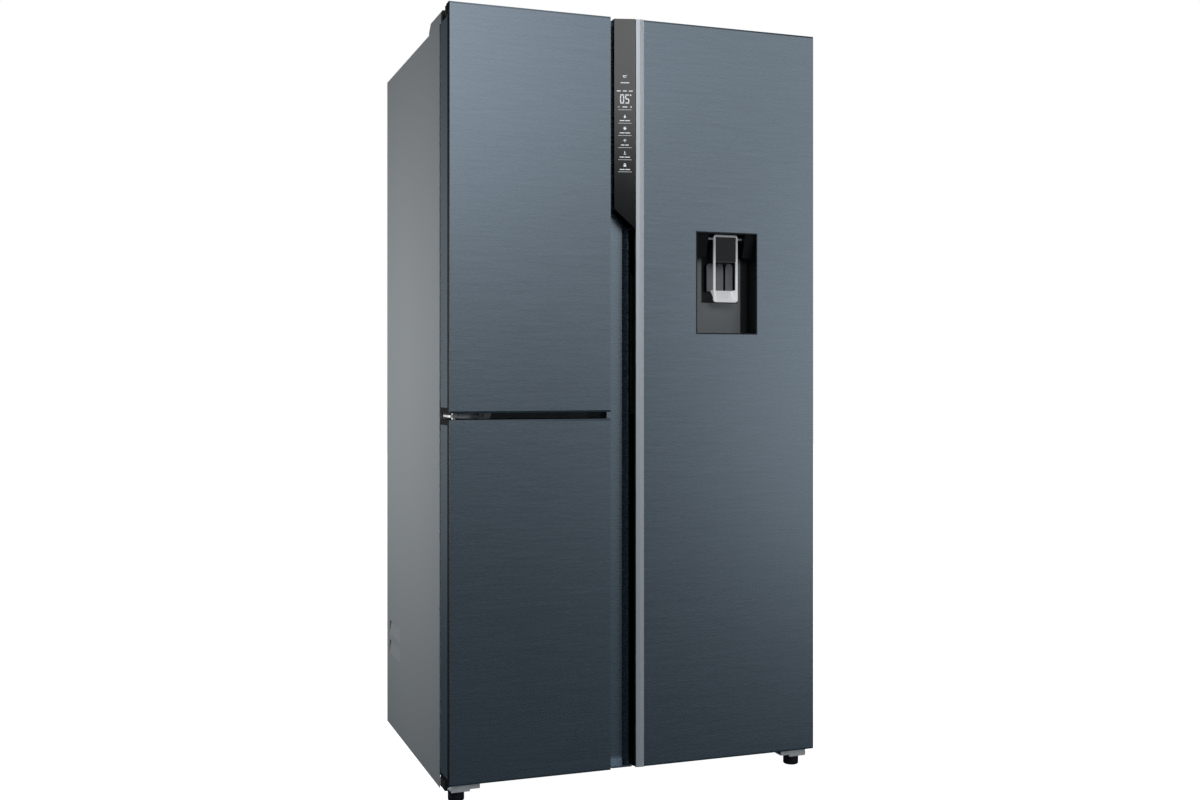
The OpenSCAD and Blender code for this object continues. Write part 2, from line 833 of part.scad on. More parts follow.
module middle_hinge() color(zinc) {
    z = [mid_hinge_z - mid_hinge_t / 2, mid_hinge_z + mid_hinge_t / 2];
    flange_z = [lower_room[3] + gasket_w + 1, freezer_room[2] - gasket_w - 1];
    slab([8, 57], [hinge_y, cab_front - 3], z);
    upright(hinge_x, hinge_y, z[0], z[1], 12);
    slab([25, 54], [hinge_y - 2, hinge_y + 1], [mid_hinge_z - split_gap / 2 + 3,
        mid_hinge_z + split_gap / 2 - 3]);
    slab([57, 88], [70, cab_front - 3], [z[0], z[0] + 2]);
    slab([8, 116], [cab_front - 3, cab_front], flange_z);
    slab([88, 116], [80, cab_front - 3], [z[0], flange_z[1] - 3]);
    upright(hinge_x, hinge_y, mid_hinge_z - split_gap / 2 - mid_pin_len,
        mid_hinge_z + split_gap / 2 + mid_pin_len,
        pin_r);
    translate([102, 80, mid_hinge_z + 1])
        rotate([90, 0, 0])
            cylinder(h = 4, r = 5);
}

foot_x = 30;
foot_y = 61;
foot_r = 18.5;
stem_r = 5;
foot_h = 26;
bracket_z = [31, 35];
apron_top = bracket_z[1] + 8;

module bottom_hinge() {
    difference() {
        union() {
            slab([8, 76], [26, cab_front + 8], bracket_z);
            slab([10, 53], [24, 27], [bracket_z[0] - 4, apron_top]);
            slab([53, 76], [24, 27], [bracket_z[0] + 2, apron_top]);
            slab([8, 76], [cab_front + 8, cab_front + 11], [bracket_z[0], foam_bottom - sheet - 3]);
            slab([8, 76], [cab_front + 8, cab_front + 70], [foam_bottom - sheet - 3, foam_bottom - sheet]);
        }
        upright(foot_x, foot_y, bracket_z[0] - 1, bracket_z[1] + 1, stem_r + pin_play);
    }
    upright(hinge_x, hinge_y, bracket_z[1], floor_gap - 0.5, 8.5);
    upright(hinge_x, hinge_y, floor_gap - 0.5, floor_gap + top_pin_len, pin_r);
    for (x = [24, 60])
        upright(x, cab_front + 40, foam_bottom - sheet - 7, foam_bottom - sheet - 3, 6);
}

module bottom_hinges() color(zinc) {
    both_sides()
        bottom_hinge();
}

// ------------------------------------------------------- feet and rollers

module foot() color(black) {
    translate([foot_x, foot_y, 0])
        rotate_extrude()
            polygon([[0, 0], [foot_r - 2, 0], [foot_r, 2], [foot_r, foot_h - 4], [foot_r - 3, foot_h],
                [stem_r + 3, foot_h],
                [stem_r + 3, bracket_z[0] - 0.05], [stem_r, bracket_z[0] - 0.05],
                [stem_r, bracket_z[1] + 9], [0, bracket_z[1] + 9]]);
}

module left_foot() {
    foot();
}

module right_foot() {
    translate([overall_w, 0, 0])
        mirror([1, 0, 0])
            foot();
}

module roller() {
    across(roller_x, roller_x + roller_w, roller_y, roller_r, roller_r);
    across(roller_x - ear_gap - ear_t - 2, roller_x + roller_w + ear_gap + ear_t + 2, roller_y, roller_r,
        roller_axle_r);
}

module rear_rollers() color(black) {
    both_sides()
        roller();
}

// ------------------------------------------------------------------ doors

// Bore for a hinge pin, from the named face into the door.
module pin_bore(x, z0, z1) {
    upright(x, hinge_y, z0, z1, pin_r + pin_play);
}

// The space that the fixed hinge parts need at the top of a door, grown by a wall thickness.
module hinge_pocket(mirrored, grow = 0) {
    w = pocket_w + grow;
    x = mirrored ? [overall_w - w, overall_w + 1] : [-1, w];
    z = [pocket_z - grow, overall_h + 1];
    slab(x, [hinge_y - grow, door_t + 1], z);
    upright(mirrored ? right_hinge_x : hinge_x, hinge_y, z[0], z[1], pocket_r + grow);
}

// The wall that separates a door's foam from the hinge pocket. top is the foam's upper end.
module pocket_lining(mirrored, top) {
    w = pocket_w + pocket_wall;
    x = mirrored ? [overall_w - w, overall_w - sheet] : [sheet, w];
    intersection() {
        hinge_pocket(mirrored, pocket_wall);
        slab(x, [band_y0, door_t - skin], [pocket_z - pocket_wall, top + 1]);
    }
}

// The outline of a door front: a flat face whose edges slope back to band_y0. left is 1 for a sloped left
// edge.
module front_block(x, z, left) {
    intersection() {
        translate([0, 0, z[0]])
            linear_extrude(z[1] - z[0])
                polygon([[x[0] + left * bevel_side, 0], [x[1] - bevel_side, 0], [x[1], band_y0],
                    [x[0], band_y0]]);
        along_x(x[0], x[1])
            polygon([[0, z[0] + bevel_w], [band_y0, z[0]], [band_y0, z[1]], [0, z[1] - bevel_w]]);
    }
}

// A thin front sheet with sloped edges.
module front_sheet(x, z, left) {
    difference() {
        front_block(x, z, left);
        translate([0, sheet, 0])
            front_block([x[0] + sheet, x[1] - sheet], z, left);
    }
}

// Upper left door and lower left door: i is 0 for the upper and 1 for the lower.
module left_panel(i) color(paint_blue) {
    z = left_z[i];
    top = i == 0 ? pocket_z : z[1] - cap_h;
    front_sheet([0, left_door_w], z, 1);
    slab([0, sheet], [band_y1, door_t], [z[0] + cap_h, top]);
    slab([left_door_w - sheet, left_door_w], [grip_y1, door_t], [z[0] + cap_h, z[1] - cap_h]);
}

hinge_block_h = 24;

module left_frame(i) color(black) {
    z = left_z[i];
    inner = [z[0] + cap_h, z[1] - cap_h];
    block_top = i == 0 ? pocket_z : z[1];
    difference() {
        union() {
            slab([0, left_door_w], [band_y0, door_t], [z[0], z[0] + cap_h]);
            slab([0, left_door_w], [band_y0, door_t], [z[1] - cap_h, z[1]]);
            slab([0, edge_band], [band_y0, band_y1], inner);
            slab([left_door_w - grip_pocket_w, left_door_w], [band_y0, grip_y0 + 2], inner);
            slab([left_door_w - grip_pocket_w - 2, left_door_w - grip_pocket_w], [band_y0, grip_y1], inner);
            slab([left_door_w - grip_pocket_w, left_door_w - sheet], [grip_y1 - 2, grip_y1], inner);
            slab([left_door_w - sheet, left_door_w], [grip_y1 - 2, grip_y1], inner);
            slab([sheet, pocket_w], [band_y1, door_t],
                [block_top - hinge_block_h, i == 0 ? block_top : inner[1]]);
            slab([sheet, hinge_x + 24], [band_y1, door_t], [z[0] + cap_h - 1, z[0] + hinge_block_h]);
            if (i == 0)
                pocket_lining(false, inner[1]);
        }
        if (i == 0)
            hinge_pocket(false);
        pin_bore(hinge_x, block_top - hinge_block_h + 1, z[1] + 1);
        pin_bore(hinge_x, z[0] - 1, z[0] + hinge_block_h - 1);
        slab([left_door_w - grip_pocket_w, left_door_w + 1], [grip_y0 + 2, grip_y1 - 2], inner);
    }
}

module left_foam(i) color(foam) {
    z = left_z[i];
    block_top = i == 0 ? pocket_z : z[1];
    difference() {
        union() {
            slab([edge_band, left_door_w - grip_pocket_w - 2], [sheet, door_t - skin],
                [z[0] + cap_h, z[1] - cap_h]);
            slab([sheet, edge_band], [band_y1, door_t - skin], [z[0] + cap_h, z[1] - cap_h]);
            slab([left_door_w - grip_pocket_w - 2, left_door_w - sheet], [grip_y1, door_t - skin],
                [z[0] + cap_h, z[1] - cap_h]);
        }
        slab([0, pocket_w], [band_y1, door_t], [block_top - hinge_block_h, block_top]);
        slab([0, hinge_x + 24], [band_y1, door_t], [z[0], z[0] + hinge_block_h]);
        if (i == 0)
            hinge_pocket(false, pocket_wall);
    }
}

// The inner plate of a door with the raised ring that carries the bins.
module door_liner(x, z, dyke_x, dyke_z, cut_x, cut_low, cut_high) color(white) {
    difference() {
        slab([x[0] + sheet, x[1] - sheet], [door_t - skin, door_t], [z[0] + cap_h, z[1] - cap_h]);
        slab(cut_x, [0, door_t + 1], [cut_high, z[1] + 1]);
        slab(cut_x, [0, door_t + 1], [z[0] - 1, cut_low]);
    }
    ring_y(dyke_x, [door_t - 1, door_t + dyke_h], dyke_z, dyke_w);
}

function left_dyke_x() = [side_wall + skin + dyke_hinge_gap, freezer_room[1] - skin - dyke_free_gap];
function right_dyke_x() = [fridge_room[0] + skin + dyke_free_gap, fridge_room[1] - skin - dyke_hinge_gap];
function dyke_z(room) = [room[2] + skin + 8, room[3] - skin - 8];

module left_liner(i) {
    z = left_z[i];
    room = i == 0 ? freezer_room : lower_room;
    block_top = i == 0 ? pocket_z : z[1];
    door_liner([0, left_door_w], z, left_dyke_x(), dyke_z(room), [-1, pocket_w], z[0] + hinge_block_h,
        block_top - hinge_block_h);
}

// Magnetic seal: a flange, a waist and a sealing face around a compartment's mouth.
module gasket(x, z) color([0.5, 0.51, 0.53]) {
    waist = 4;
    lip = 3;
    ring_y(x, [door_t, door_t + lip], z, gasket_w);
    ring_y([x[0] + waist, x[1] - waist], [door_t + lip - 1, door_t + gasket_t - lip + 1],
        [z[0] + waist, z[1] - waist], gasket_w - 2 * waist);
    ring_y(x, [door_t + gasket_t - lip, door_t + gasket_t], z, gasket_w);
}

gasket_rise = 20;
gasket_drop = 22;

module left_gasket(i) {
    room = i == 0 ? freezer_room : lower_room;
    z0 = i == 0 ? divider_z + split_gap / 2 + gasket_edge_inset : room[2] - gasket_drop;
    z1 = i == 0 ? room[3] + gasket_rise : divider_z - split_gap / 2 - gasket_edge_inset;
    gasket([gasket_hinge_inset, left_door_w - gasket_edge_inset], [z0, z1]);
}

// A door bin: a tub with a rail along its front.
module bin(x, z0, h) {
    y = [door_t, door_t + bin_depth];
    tub(x, y, [z0, z0 + h], bin_wall);
    slab([x[0], x[1]], [y[1], y[1] + 3], [z0 + h - 22, z0 + h - 6]);
}

function even(z0, z1, n) = [for (i = [0 : n - 1]) z0 + i * (z1 - z0) / n];

bin_h = 88;
bin_play = 0.4;
left_bin_x = [left_dyke_x()[0] + dyke_w + bin_play, left_dyke_x()[1] - dyke_w - bin_play];
right_bin_x = [right_dyke_x()[0] + dyke_w + bin_play, right_dyke_x()[1] - dyke_w - bin_play];

module left_bins(i) color(clear) {
    room = i == 0 ? freezer_room : lower_room;
    n = i == 0 ? 4 : 3;
    first = dyke_z(room)[0] + dyke_w + 4;
    for (z = even(first, dyke_z(room)[1] - dyke_w, n))
        bin(left_bin_x, z, bin_h);
}

module upper_door_panel() {
    difference() {
        left_panel(0);
        hinge_pocket(false);
    }
}

module upper_door_frame() {
    left_frame(0);
}

module upper_door_foam() {
    left_foam(0);
}

module upper_door_liner() {
    left_liner(0);
}

module upper_door_gasket() {
    left_gasket(0);
}

module upper_door_bins() {
    left_bins(0);
}

module lower_door_panel() {
    left_panel(1);
}

module lower_door_frame() {
    left_frame(1);
}

module lower_door_foam() {
    left_foam(1);
}

module lower_door_liner() {
    left_liner(1);
}

module lower_door_gasket() {
    left_gasket(1);
}

module lower_door_bins() {
    left_bins(1);
}

// Right door
door_z = [floor_gap, overall_h];
door_in = [floor_gap + cap_h, overall_h - cap_h];
right_hinge_x = overall_w - hinge_x;
recess_x0 = (trim_x1 + overall_w) / 2 - 10 - recess_w / 2;
recess_z = overall_h - recess_drop - recess_h;
recess_x = [recess_x0, recess_x0 + recess_w];
recess_zz = [recess_z, recess_z + recess_h];
housing_t = 3;
cup_depth = 21;
bay_shift = 3.5;
bay_mid = recess_x0 + recess_w / 2 + bay_shift;
bay_side = 16;
cup_x = [bay_mid - lever_w / 2 - bay_side, bay_mid + lever_w / 2 + bay_side];
cup_z = [recess_z + 77, recess_z + recess_h - housing_t];
canopy_z = recess_z + 184;

module housing_outer(extra) {
    slab(recess_x, [-extra, recess_d + housing_t], recess_zz);
    slab([cup_x[0] - housing_t, cup_x[1] + housing_t], [recess_d, recess_d + cup_depth + housing_t],
        [cup_z[0] - housing_t, cup_z[1] + housing_t]);
}

module right_door_panel() color(paint_blue) {
    difference() {
        front_sheet([trim_x1, overall_w], door_z, 0);
        housing_outer(1);
    }
    slab([trim_x1, trim_x1 + sheet], [band_y0, trim_back - trim_t], door_z);
    slab([overall_w - sheet, overall_w], [band_y1, door_t], [door_in[0], pocket_z]);
    slab([right_x0, right_x0 + sheet], [channel_d + skin, door_t], door_in);
}

module right_cap(z) {
    slab([right_x0, overall_w], [slot_back + skin, door_t], z);
    slab([right_x0, lip_x1], [channel_d + dip_d + skin, slot_back + skin], z);
    slab([lip_x1, overall_w], [trim_back, slot_back + skin], z);
    slab([slot_x1, overall_w], [band_y0, trim_back], z);
}

module right_door_frame() color(black) {
    difference() {
        union() {
            right_cap([door_z[0], door_in[0]]);
            right_cap([door_in[1], door_z[1]]);
            slab([overall_w - edge_band, overall_w], [band_y0, band_y1], door_in);
            slab([lip_x1 - skin, lip_x1], [channel_d + dip_d + skin, slot_back], door_in);
            slab([lip_x1 - skin, slot_x1 + skin], [slot_back, slot_back + skin], door_in);
            slab([slot_x1, slot_x1 + skin], [trim_back, slot_back], door_in);
            slab([overall_w - pocket_w, overall_w - sheet], [band_y1, door_t],
                [pocket_z - hinge_block_h, pocket_z]);
            slab([right_hinge_x - 24, overall_w - sheet], [band_y1, door_t],
                [door_in[0] - 1, door_z[0] + hinge_block_h]);
            pocket_lining(true, door_in[1]);
        }
        hinge_pocket(true);
        pin_bore(right_hinge_x, pocket_z - hinge_block_h + 1, overall_h + 1);
        pin_bore(right_hinge_x, door_z[0] - 1, door_z[0] + hinge_block_h - 1);
    }
}

module right_door_foam() color(foam) {
    difference() {
        union() {
            slab([slot_x1 + skin, overall_w - edge_band], [sheet, door_t - skin], door_in);
            slab([right_x0 + sheet, slot_x1 + skin], [slot_back + skin, door_t - skin], door_in);
            slab([right_x0 + sheet, lip_x1 - skin], [channel_d + dip_d + skin, slot_back + skin], door_in);
            slab([overall_w - edge_band, overall_w - sheet], [band_y1, door_t - skin], door_in);
        }
        housing_outer(2);
        slab([overall_w - pocket_w, overall_w], [band_y1, door_t], [pocket_z - hinge_block_h, overall_h]);
        slab([right_hinge_x - 24, overall_w], [band_y1, door_t], [door_z[0], door_z[0] + hinge_block_h]);
        hinge_pocket(true, pocket_wall);
    }
}

module right_door_liner() {
    door_liner([right_x0, overall_w], door_z, right_dyke_x(), dyke_z(fridge_room),
        [overall_w - pocket_w, overall_w + 1], door_z[0] + hinge_block_h, pocket_z - hinge_block_h);
}

module right_door_gasket() {
    gasket([right_x0 + gasket_edge_inset, overall_w - gasket_hinge_inset],
        [room_z0 - gasket_drop, room_z1 + gasket_rise]);
}

tank_h = 176;
tank_z = recess_zz[1] - 44;
tank_depth = 92;
bins_below = 4;

module right_door_bins() color(clear) {
    first = dyke_z(fridge_room)[0] + dyke_w + 4;
    for (z = even(first, tank_z - 20, bins_below))
        bin(right_bin_x, z, bin_h);
    bin(right_bin_x, tank_z + tank_h + 46, bin_h);
}

ledge_y = 12;
ledge_t = 4;

module handle_channel() color(paint_blue) {
    x0 = lip_x1 - channel_lip - dip_w;
    x1 = lip_x1 - channel_lip;
    y1 = channel_d + dip_d;
    translate([0, 0, door_z[0]])
        linear_extrude(door_z[1] - door_z[0])
            polygon([[right_x0, channel_d], [x0, channel_d], [x1, y1], [x1, channel_d - channel_lip_h],
                [lip_x1, channel_d - channel_lip_h], [lip_x1, y1 + skin], [x1 - 1, y1 + skin],
                [x0 - 1, channel_d + skin], [right_x0, channel_d + skin]]);
    slab([right_x0, x1], [ledge_y, channel_d + 1], [door_z[0], door_z[0] + ledge_t]);
}

module edge_trim() color(silver) {
    translate([0, 0, door_z[0]])
        linear_extrude(door_z[1] - door_z[0])
            polygon([[trim_x0, trim_facet], [(trim_x0 + trim_x1) / 2, 0], [trim_x1, 0], [trim_x1, trim_t],
                [trim_x0 + trim_t, trim_t], [trim_x0 + trim_t, trim_t + 1], [trim_x0, trim_t + 1]]);
    slab([trim_x0, trim_x0 + trim_t], [trim_t, trim_back], door_z);
    slab([trim_x0 + trim_t, slot_x1], [trim_back - trim_t, trim_back], door_z);
}

grip_z0 = split_z + 8;
grip_x = [slot_x1 - 14, slot_x1 - 5];

module grip_insert() color([0.35, 0.34, 0.34]) {
    translate([0, slot_back - 5, 0])
        rotate([90, 0, 0])
            mirror([0, 0, 1])
                linear_extrude(5)
                    polygon([[grip_x[0], grip_z0], [grip_x[1], grip_z0], [grip_x[1], grip_z0 + grip_h - 14],
                        [grip_x[0], grip_z0 + grip_h]]);
    slab(grip_x, [slot_back - 8, slot_back - 5], [grip_z0, grip_z0 + 26]);
}

// The display strip: its face leans back from the trim to its free edge, and its lower end is slanted.
display_x = [right_x0 + 7, trim_x0 - 2];
display_back = channel_d - channel_lip_h;
display_lean = 14;
display_slant = display_x[1] - display_x[0];

module display_panel() color(black) {
    difference() {
        translate([0, 0, overall_h - display_h - display_slant])
            linear_extrude(display_h + display_slant)
                difference() {
                    polygon([[display_x[0], display_lean], [display_x[1], 0.5], [display_x[1], display_back],
                        [display_x[0], display_back]]);
                    polygon([[display_x[0] + 3, display_lean + 4], [display_x[1] - 3, 6],
                        [display_x[1] - 3, display_back - 3],
                        [display_x[0] + 3, display_back - 3]]);
                }
        translate([0, 0, overall_h - display_h - display_slant])
            rotate([90, 0, 0])
                translate([0, 0, -channel_d - 1])
                    linear_extrude(channel_d + 2)
                        polygon([[display_x[0] - 1, -1], [display_x[1] + 1, -1],
                            [display_x[0] - 1, display_slant + 1]]);
    }
}

pivot_y = 29;
pivot_z = recess_zz[1] - 13;
pivot_r = 2.5;
lever_x = [bay_mid - lever_w / 2, bay_mid + lever_w / 2];
lever_z = [recess_z + 77, recess_zz[1] - 5];
lever_y = [14, 18];
lever_bar = 5;
pad_rise = 29;
pad_reach = 22;

module dispenser_housing() color(black) {
    rib_w = 19;
    rib_gap = 5.5;
    difference() {
        housing_outer(0);
        slab([recess_x[0] + housing_t, recess_x[1] - housing_t], [-1, recess_d],
            [recess_zz[0] + housing_t, recess_zz[1] - housing_t]);
        slab(cup_x, [recess_d - 1, recess_d + cup_depth], cup_z);
    }
    difference() {
        for (x = [[recess_x[0] + 1, cup_x[0]], [cup_x[1], recess_x[1] - 1]])
            along_x(x[0], x[1])
                polygon([[4, recess_zz[1] - 1], [24, canopy_z], [recess_d + 1, canopy_z],
                    [recess_d + 1, recess_zz[1] - 1]]);
        across(cup_x[0] - 8, cup_x[1] + 8, pivot_y, pivot_z, pivot_r + pin_play);
    }
    for (i = [-1, 0, 1])
        translate([bay_mid + 3 + i * (rib_w + rib_gap), recess_d + cup_depth + 1, cup_z[0] + 28])
            rotate([90, 0, 0])
                linear_extrude(cup_depth - 4) {
                    translate([-rib_w / 2, 0])
                        square([rib_w, 58]);
                    translate([0, 58])
                        circle(rib_w / 2);
                }
    translate([bay_mid, recess_d - 6, canopy_z])
        difference() {
            cylinder(h = recess_zz[1] - 1 - canopy_z, r = 7);
            translate([0, 0, -1])
                cylinder(h = 14, r = 4);
        }
}

// The push lever: a rounded frame with a cover plate above and a scoop-shaped pad below.
module dispenser_lever() color(silver) {
    w = lever_x[1] - lever_x[0];
    h = lever_z[1] - lever_z[0];
    translate([lever_x[0], lever_y[1], lever_z[0]])
        rotate([90, 0, 0])
            linear_extrude(lever_y[1] - lever_y[0])
                difference() {
                    flat_rounded(w, h, 7);
                    translate([lever_bar, lever_bar])
                        square([w - 2 * lever_bar, h - 2 * lever_bar]);
                }
    slab([lever_x[0] + lever_bar - 1, lever_x[1] - lever_bar + 1], [lever_y[0] + 1, lever_y[1]],
        [canopy_z - 11, lever_z[1] - lever_bar + 1]);
    pad_z = lever_z[0] + pad_rise;
    pad_y = lever_y[1] + pad_reach;
    along_x(lever_x[0] + lever_bar - 1, lever_x[1] - lever_bar + 1)
        polygon([[lever_y[0] + 1, lever_z[0] + lever_bar - 1], [lever_y[1], lever_z[0] + lever_bar - 1],
            [pad_y, pad_z - 3], [pad_y, pad_z], [lever_y[0] + 1, lever_z[0] + lever_bar + 1]]);
    for (x = [lever_x[0] + lever_bar - 1, lever_x[1] - lever_bar - 0.5])
        along_x(x, x + 1.5)
            polygon([[lever_y[0] + 1, lever_z[0] + lever_bar], [pad_y, pad_z - 1], [pad_y, pad_z],
                [lever_y[0] + 1, pad_z]]);
    across(cup_x[0] - 7, cup_x[1] + 7, pivot_y, pivot_z, pivot_r);
    for (x = [lever_x[0] + 2, lever_x[1] - 8])
        slab([x, x + 6], [lever_y[1] - 1, pivot_y], [pivot_z - 2, pivot_z + 2]);
}

// The water tank sits on the inside of the door above the dispenser.
module water_tank() color(clear) {
    x = [recess_x[0] - 26, recess_x[1] + 26];
    difference() {
        slab(x, [door_t, door_t + tank_depth], [tank_z, tank_z + tank_h]);
        slab([x[0] + 2.5, x[1] - 2.5], [door_t + 2.5, door_t + tank_depth - 2.5],
            [tank_z + 2.5, tank_z + tank_h - 2.5]);
        upright((x[0] + x[1]) / 2, door_t + tank_depth / 2, tank_z + tank_h - 4, tank_z + tank_h + 1, 26);
    }
    upright((x[0] + x[1]) / 2, door_t + tank_depth / 2, tank_z + tank_h - 2.5, tank_z + tank_h + 12, 26);
}

place() {
    cabinet_shell();
    rear_panel();
    bottom_pan();
    compressor_base();
    insulation_foam();
    fridge_liner();
    freezer_liner();
    lower_liner();
    divider_strips();
    evaporator_cover();
    evaporator();
    evaporator_fan();
    fridge_air_duct();
    lamps();
    glass_shelves();
    shelf_trims();
    compressor();
    condenser();
    fan_mounts();
    condenser_fan();
    drain_pan();
    machine_cover();
    control_box();
    cord_gland();
    top_hinges();
    middle_hinge();
    bottom_hinges();
    hinge_covers();
    rear_rollers();
    left_foot();
    right_foot();
    upper_door_panel();
    upper_door_frame();
    upper_door_foam();
    upper_door_liner();
    upper_door_gasket();
    upper_door_bins();
    lower_door_panel();
    lower_door_frame();
    lower_door_foam();
    lower_door_liner();
    lower_door_gasket();
    lower_door_bins();
    right_door_panel();
    right_door_frame();
    right_door_foam();
    right_door_liner();
    right_door_gasket();
    right_door_bins();
    handle_channel();
    edge_trim();
    grip_insert();
    display_panel();
    dispenser_housing();
    dispenser_lever();
    water_tank();
    upper_crisper();
    lower_crisper();
    freezer_drawer();
    lower_drawer();
}
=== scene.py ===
"""Side by side refrigerator: finishes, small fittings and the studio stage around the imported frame."""
import math

import bmesh
import bpy
from bpy.props import FloatProperty, FloatVectorProperty, PointerProperty
from mathutils import Matrix, Vector


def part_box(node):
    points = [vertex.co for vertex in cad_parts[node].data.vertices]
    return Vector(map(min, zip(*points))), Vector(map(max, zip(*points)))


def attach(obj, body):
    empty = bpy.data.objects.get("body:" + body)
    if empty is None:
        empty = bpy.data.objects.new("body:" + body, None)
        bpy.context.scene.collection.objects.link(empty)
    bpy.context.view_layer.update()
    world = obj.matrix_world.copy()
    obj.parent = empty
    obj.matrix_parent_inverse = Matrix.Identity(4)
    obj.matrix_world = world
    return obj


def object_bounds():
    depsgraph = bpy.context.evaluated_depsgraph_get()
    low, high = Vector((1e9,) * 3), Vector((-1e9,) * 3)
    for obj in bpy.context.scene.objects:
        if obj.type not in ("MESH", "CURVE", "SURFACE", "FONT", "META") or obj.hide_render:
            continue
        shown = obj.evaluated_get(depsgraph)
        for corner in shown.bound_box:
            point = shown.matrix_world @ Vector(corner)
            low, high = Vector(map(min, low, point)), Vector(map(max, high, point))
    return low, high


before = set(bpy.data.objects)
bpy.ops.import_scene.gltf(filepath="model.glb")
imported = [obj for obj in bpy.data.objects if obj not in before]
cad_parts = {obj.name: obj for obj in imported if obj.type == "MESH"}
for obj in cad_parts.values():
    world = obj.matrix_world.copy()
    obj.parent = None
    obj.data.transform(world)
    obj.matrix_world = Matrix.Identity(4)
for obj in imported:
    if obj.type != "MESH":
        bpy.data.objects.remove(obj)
CAD_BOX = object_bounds()

bl_info = {
    "name": "Side by side refrigerator",
    "version": (1, 0, 0),
    "blender": (4, 5, 0),
    "location": "View3D > Sidebar > Fridge",
    "description": "Finishes, fittings and studio for a three-door side by side refrigerator",
    "category": "Object",
}

MM = 0.001
LOW, HIGH = CAD_BOX
# how far the near-black painted shade along the doors' outer corner edges reaches along their front and along
# their side
PAINTED_SHADE_EDGE_FRONT = 1.05 * MM
PAINTED_SHADE_EDGE_SIDE = 3.05 * MM


def span(node):
    """The lowest and highest corner of a CAD node, in metres."""
    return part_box(node)


# ------------------------------------------------------------------ settings


class FridgeFinishes(bpy.types.PropertyGroup):
    """Colours and surface strengths of the outer finishes."""

    door_colour: FloatVectorProperty(
        name="Door steel", description="Colour of the brushed door fronts", subtype="COLOR",
        size=3, min=0, max=1, default=(0.290, 0.350, 0.410),
    )
    cabinet_colour: FloatVectorProperty(
        name="Cabinet paint", description="Colour of the painted sides and top", subtype="COLOR",
        size=3, min=0, max=1, default=(0.270, 0.285, 0.298),
    )
    trim_colour: FloatVectorProperty(
        name="Edge trim", description="Colour of the bright strip beside the channel", subtype="COLOR",
        size=3, min=0, max=1, default=(0.86, 0.90, 0.95),
    )
    streak_depth: FloatProperty(
        name="Brushing", description="How strongly the brushed streaks change the door's tone",
        subtype="FACTOR", min=0, max=1, default=0.06,
    )
    door_roughness: FloatProperty(
        name="Door roughness", description="Roughness of the coated steel", subtype="FACTOR",
        min=0, max=1, default=0.27,
    )


class FridgeFittings(bpy.types.PropertyGroup):
    """Sizes of the small fittings that are added to the frame."""

    mark_height: FloatProperty(
        name="Mark height", description="How far the display marks stand off the glass", unit="LENGTH",
        subtype="DISTANCE", min=0.00005, max=0.001, default=0.15 * MM,
    )
    screw_radius: FloatProperty(
        name="Screw head radius", description="Radius of the panel screws' heads", unit="LENGTH",
        subtype="DISTANCE", min=0.002, max=0.008, default=4.2 * MM,
    )


class FridgeStudio(bpy.types.PropertyGroup):
    """Camera and light of the studio."""

    focal_length: FloatProperty(
        name="Focal length", description="Lens on a 36 mm wide sensor, in millimetres", min=10, max=200,
        default=39.7,
    )
    eye_height: FloatProperty(
        name="Eye height", description="Height of the camera above the floor", unit="LENGTH",
        subtype="DISTANCE", min=0.1, max=3, default=0.9436,
    )
    side_light: FloatProperty(
        name="Side light", description="Power of the softbox beside the cabinet, in watts", min=0, max=500,
        default=16,
    )


# ------------------------------------------------------------- shader wiring


class Wire:
    """A shader value that can be used in arithmetic. Each operation adds a Math node."""

    def __init__(self, board, socket):
        self.board = board
        self.socket = socket

    def _math(self, operation, first, second=None):
        sockets = {0: first}
        if second is not None:
            sockets[1] = second
        return self.board.node("Math", {"operation": operation}, sockets)

    def __add__(self, other):
        return self._math("ADD", self, other)

    __radd__ = __add__

    def __sub__(self, other):
        return self._math("SUBTRACT", self, other)

    def __rsub__(self, other):
        return self._math("SUBTRACT", other, self)

    def __mul__(self, other):
        return self._math("MULTIPLY", self, other)

    __rmul__ = __mul__

    def __gt__(self, other):
        return self._math("GREATER_THAN", self, other)

    def __lt__(self, other):
        return self._math("LESS_THAN", self, other)


class Board:
    """A node tree and the one method that adds nodes to it."""

    def __init__(self, tree):
        self.tree = tree
        tree.nodes.clear()

    def node(self, kind, settings=None, sockets=None, out=0):
        made = self.tree.nodes.new("ShaderNode" + kind)
        for key, value in (settings or {}).items():
            if key == "stops":
                ramp = made.color_ramp
                while len(ramp.elements) > 1:
                    ramp.elements.remove(ramp.elements[-1])
                ramp.elements[0].position, ramp.elements[0].color = value[0]
                for position, colour in value[1:]:
                    ramp.elements.new(position).color = colour
            else:
                setattr(made, key, value)
        for key, value in (sockets or {}).items():
            if isinstance(value, Wire):
                self.tree.links.new(value.socket, made.inputs[key])
            else:
                made.inputs[key].default_value = value
        return Wire(self, made.outputs[out])

    def blend(self, factor, first, second):
        """A colour between two colours."""
        sockets = {0: factor, 6: opaque(first), 7: opaque(second)}
        return self.node("Mix", {"data_type": "RGBA"}, sockets, out=2)

    def smooth(self, value, low, high):
        """0 below low, 1 above high, with a soft change between them."""
        return self.node("MapRange", {"interpolation_type": "SMOOTHSTEP"}, {0: value, 1: low, 2: high})


def opaque(colour):
    """A colour for a socket: a wire as it is, or three numbers with an alpha of 1."""
    return colour if isinstance(colour, Wire) else (*colour[:3], 1.0)


